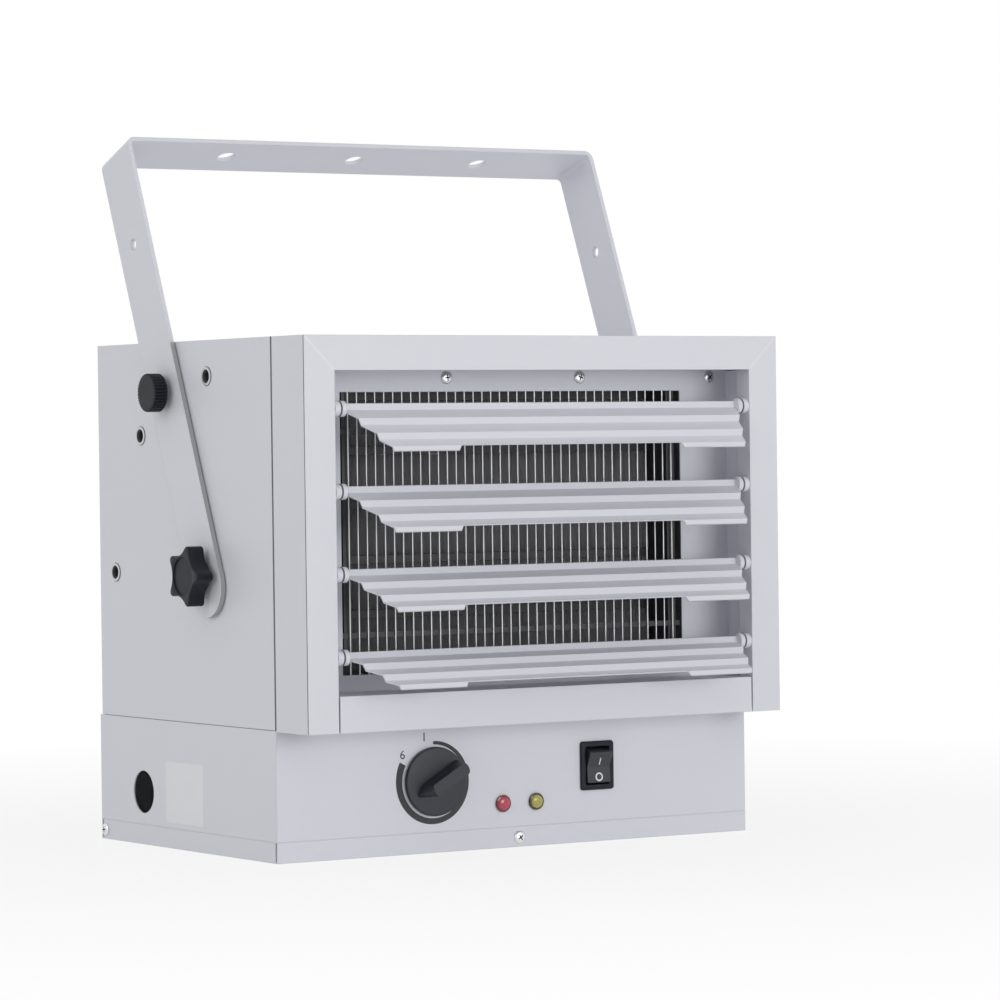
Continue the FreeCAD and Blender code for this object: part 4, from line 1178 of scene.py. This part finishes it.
class HEATER_OT_stage(bpy.types.Operator):
    """Sets the floor, the soft lamps and the camera"""
    bl_idname = "heater.stage"
    bl_label = "Set Stage"

    # Place, target and width of each lamp, in metres
    key = ((0.6, -2.8, 0.35), (0.0, 0.0, 0.12), 1.4)
    fill = ((-2.6, -0.6, 1.2), (0.0, 0.0, 0.2), 2.0)

    # Half the floor's width, and the distances between which its shadow fades into white
    floor_reach, fade_start, fade_end, shadow_share = 12.0, 0.25, 1.0, 0.80

    # The camera's sensor in millimetres, and how far it sees in metres
    sensor, sight = 36.0, 50.0

    white = (1.0, 1.0, 1.0, 1.0)

    def execute(self, context):
        stage = context.scene.heater_stage
        self.floor(stage)
        self.sky(context.scene, stage)
        self.lamp("key_lamp", *self.key, stage.key)
        self.lamp("fill_lamp", *self.fill, stage.fill)
        self.camera(context.scene, stage)
        context.scene.view_settings.view_transform = "Standard"
        return {"FINISHED"}

    def camera(self, scene, stage):
        camera = bpy.data.cameras.new("camera")
        camera.lens = stage.lens
        camera.sensor_width = self.sensor
        camera.clip_end = self.sight
        thing = linked("camera", camera)
        thing.location = stage.place
        thing.rotation_euler = stage.turn
        scene.camera = thing

    def background_rays(self, tree):
        """An output that is 1 for rays from the camera, off a glossy surface or through glass."""
        path = tree.nodes.new("ShaderNodeLightPath")
        sharp, seen = tree.nodes.new("ShaderNodeMath"), tree.nodes.new("ShaderNodeMath")
        sharp.operation = seen.operation = "MAXIMUM"
        tree.links.new(path.outputs["Is Glossy Ray"], sharp.inputs[0])
        tree.links.new(path.outputs["Is Transmission Ray"], sharp.inputs[1])
        tree.links.new(path.outputs["Is Camera Ray"], seen.inputs[0])
        tree.links.new(sharp.outputs[0], seen.inputs[1])
        return seen.outputs[0]

    def floor(self, stage):
        """Pale paper that keeps the shadow near the heater and fades into white around it."""
        bm = bmesh.new()
        bmesh.ops.create_grid(bm, x_segments=1, y_segments=1, size=self.floor_reach)
        mesh = plain_mesh("floor", bm)
        finish = Finish("floor_paper", stage.floor, 0.9)
        glow = finish.add("ShaderNodeEmission", Color=self.white, Strength=1.0)
        catch = finish.add("ShaderNodeMixShader")
        away = finish.add("ShaderNodeVectorMath", operation="LENGTH")
        fade = finish.add("ShaderNodeMapRange", From_Min=self.fade_start, From_Max=self.fade_end,
                          To_Min=self.shadow_share, To_Max=1.0)
        share = finish.add("ShaderNodeMath", operation="MULTIPLY")
        finish.link(finish.place, away.inputs[0])
        finish.link(away.outputs["Value"], fade.inputs["Value"])
        finish.link(self.background_rays(finish.tree), share.inputs[0])
        finish.link(fade.outputs["Result"], share.inputs[1])
        finish.link(share.outputs[0], catch.inputs[0])
        finish.link(finish.shader.outputs[0], catch.inputs[1])
        finish.link(glow.outputs[0], catch.inputs[2])
        finish.link(catch.outputs[0], finish.tree.nodes["Material Output"].inputs["Surface"])
        mesh.materials.append(finish.material)
        linked("floor", mesh)

    def sky(self, scene, stage):
        """Even light all round, which shows as white."""
        world = bpy.data.worlds.new("sky")
        scene.world = world
        world.use_nodes = True
        nodes, links = world.node_tree.nodes, world.node_tree.links
        light, backdrop = nodes["Background"], nodes.new("ShaderNodeBackground")
        light.inputs["Color"].default_value = self.white
        light.inputs["Strength"].default_value = stage.sky
        backdrop.inputs["Color"].default_value = self.white
        mix = nodes.new("ShaderNodeMixShader")
        links.new(self.background_rays(world.node_tree), mix.inputs[0])
        links.new(light.outputs[0], mix.inputs[1])
        links.new(backdrop.outputs[0], mix.inputs[2])
        links.new(mix.outputs[0], nodes["World Output"].inputs["Surface"])

    def lamp(self, name, place, target, size, power):
        data = bpy.data.lights.new(name, "AREA")
        data.shape = "DISK"
        data.size = size
        data.energy = power
        thing = linked(name, data)
        thing.location = place
        thing.rotation_euler = (Vector(target) - Vector(place)).to_track_quat("-Z", "Y").to_euler()


class HEATER_PT_looks(bpy.types.Panel):
    """Lists the steps that dress the heater"""
    bl_idname = "HEATER_PT_looks"
    bl_label = "Garage Heater"
    bl_space_type = "VIEW_3D"
    bl_region_type = "UI"
    bl_category = "Heater"

    def draw(self, context):
        for step in STEPS:
            self.layout.operator(step.bl_idname)


GROUPS = (("heater_finish", HeaterFinish), ("heater_sizes", HeaterSizes), ("heater_stage", HeaterStage))
STEPS = (HEATER_OT_coat, HEATER_OT_inner_finishes, HEATER_OT_fins, HEATER_OT_star_knobs,
         HEATER_OT_thumb_screws, HEATER_OT_dial, HEATER_OT_dial_print, HEATER_OT_lamps,
         HEATER_OT_rocker_switch, HEATER_OT_screws, HEATER_OT_nuts, HEATER_OT_trim, HEATER_OT_stage)
CLASSES = tuple(group for name, group in GROUPS) + STEPS + (HEATER_PT_looks,)


def register():
    for item in CLASSES:
        bpy.utils.register_class(item)
    for name, group in GROUPS:
        setattr(bpy.types.Scene, name, PointerProperty(type=group))


def unregister():
    for name, group in GROUPS:
        delattr(bpy.types.Scene, name)
    for item in reversed(CLASSES):
        bpy.utils.unregister_class(item)


def main():
    register()
    for step in STEPS:
        space, name = step.bl_idname.split(".")
        getattr(getattr(bpy.ops, space), name)()


if __name__ == "__main__":
    main()
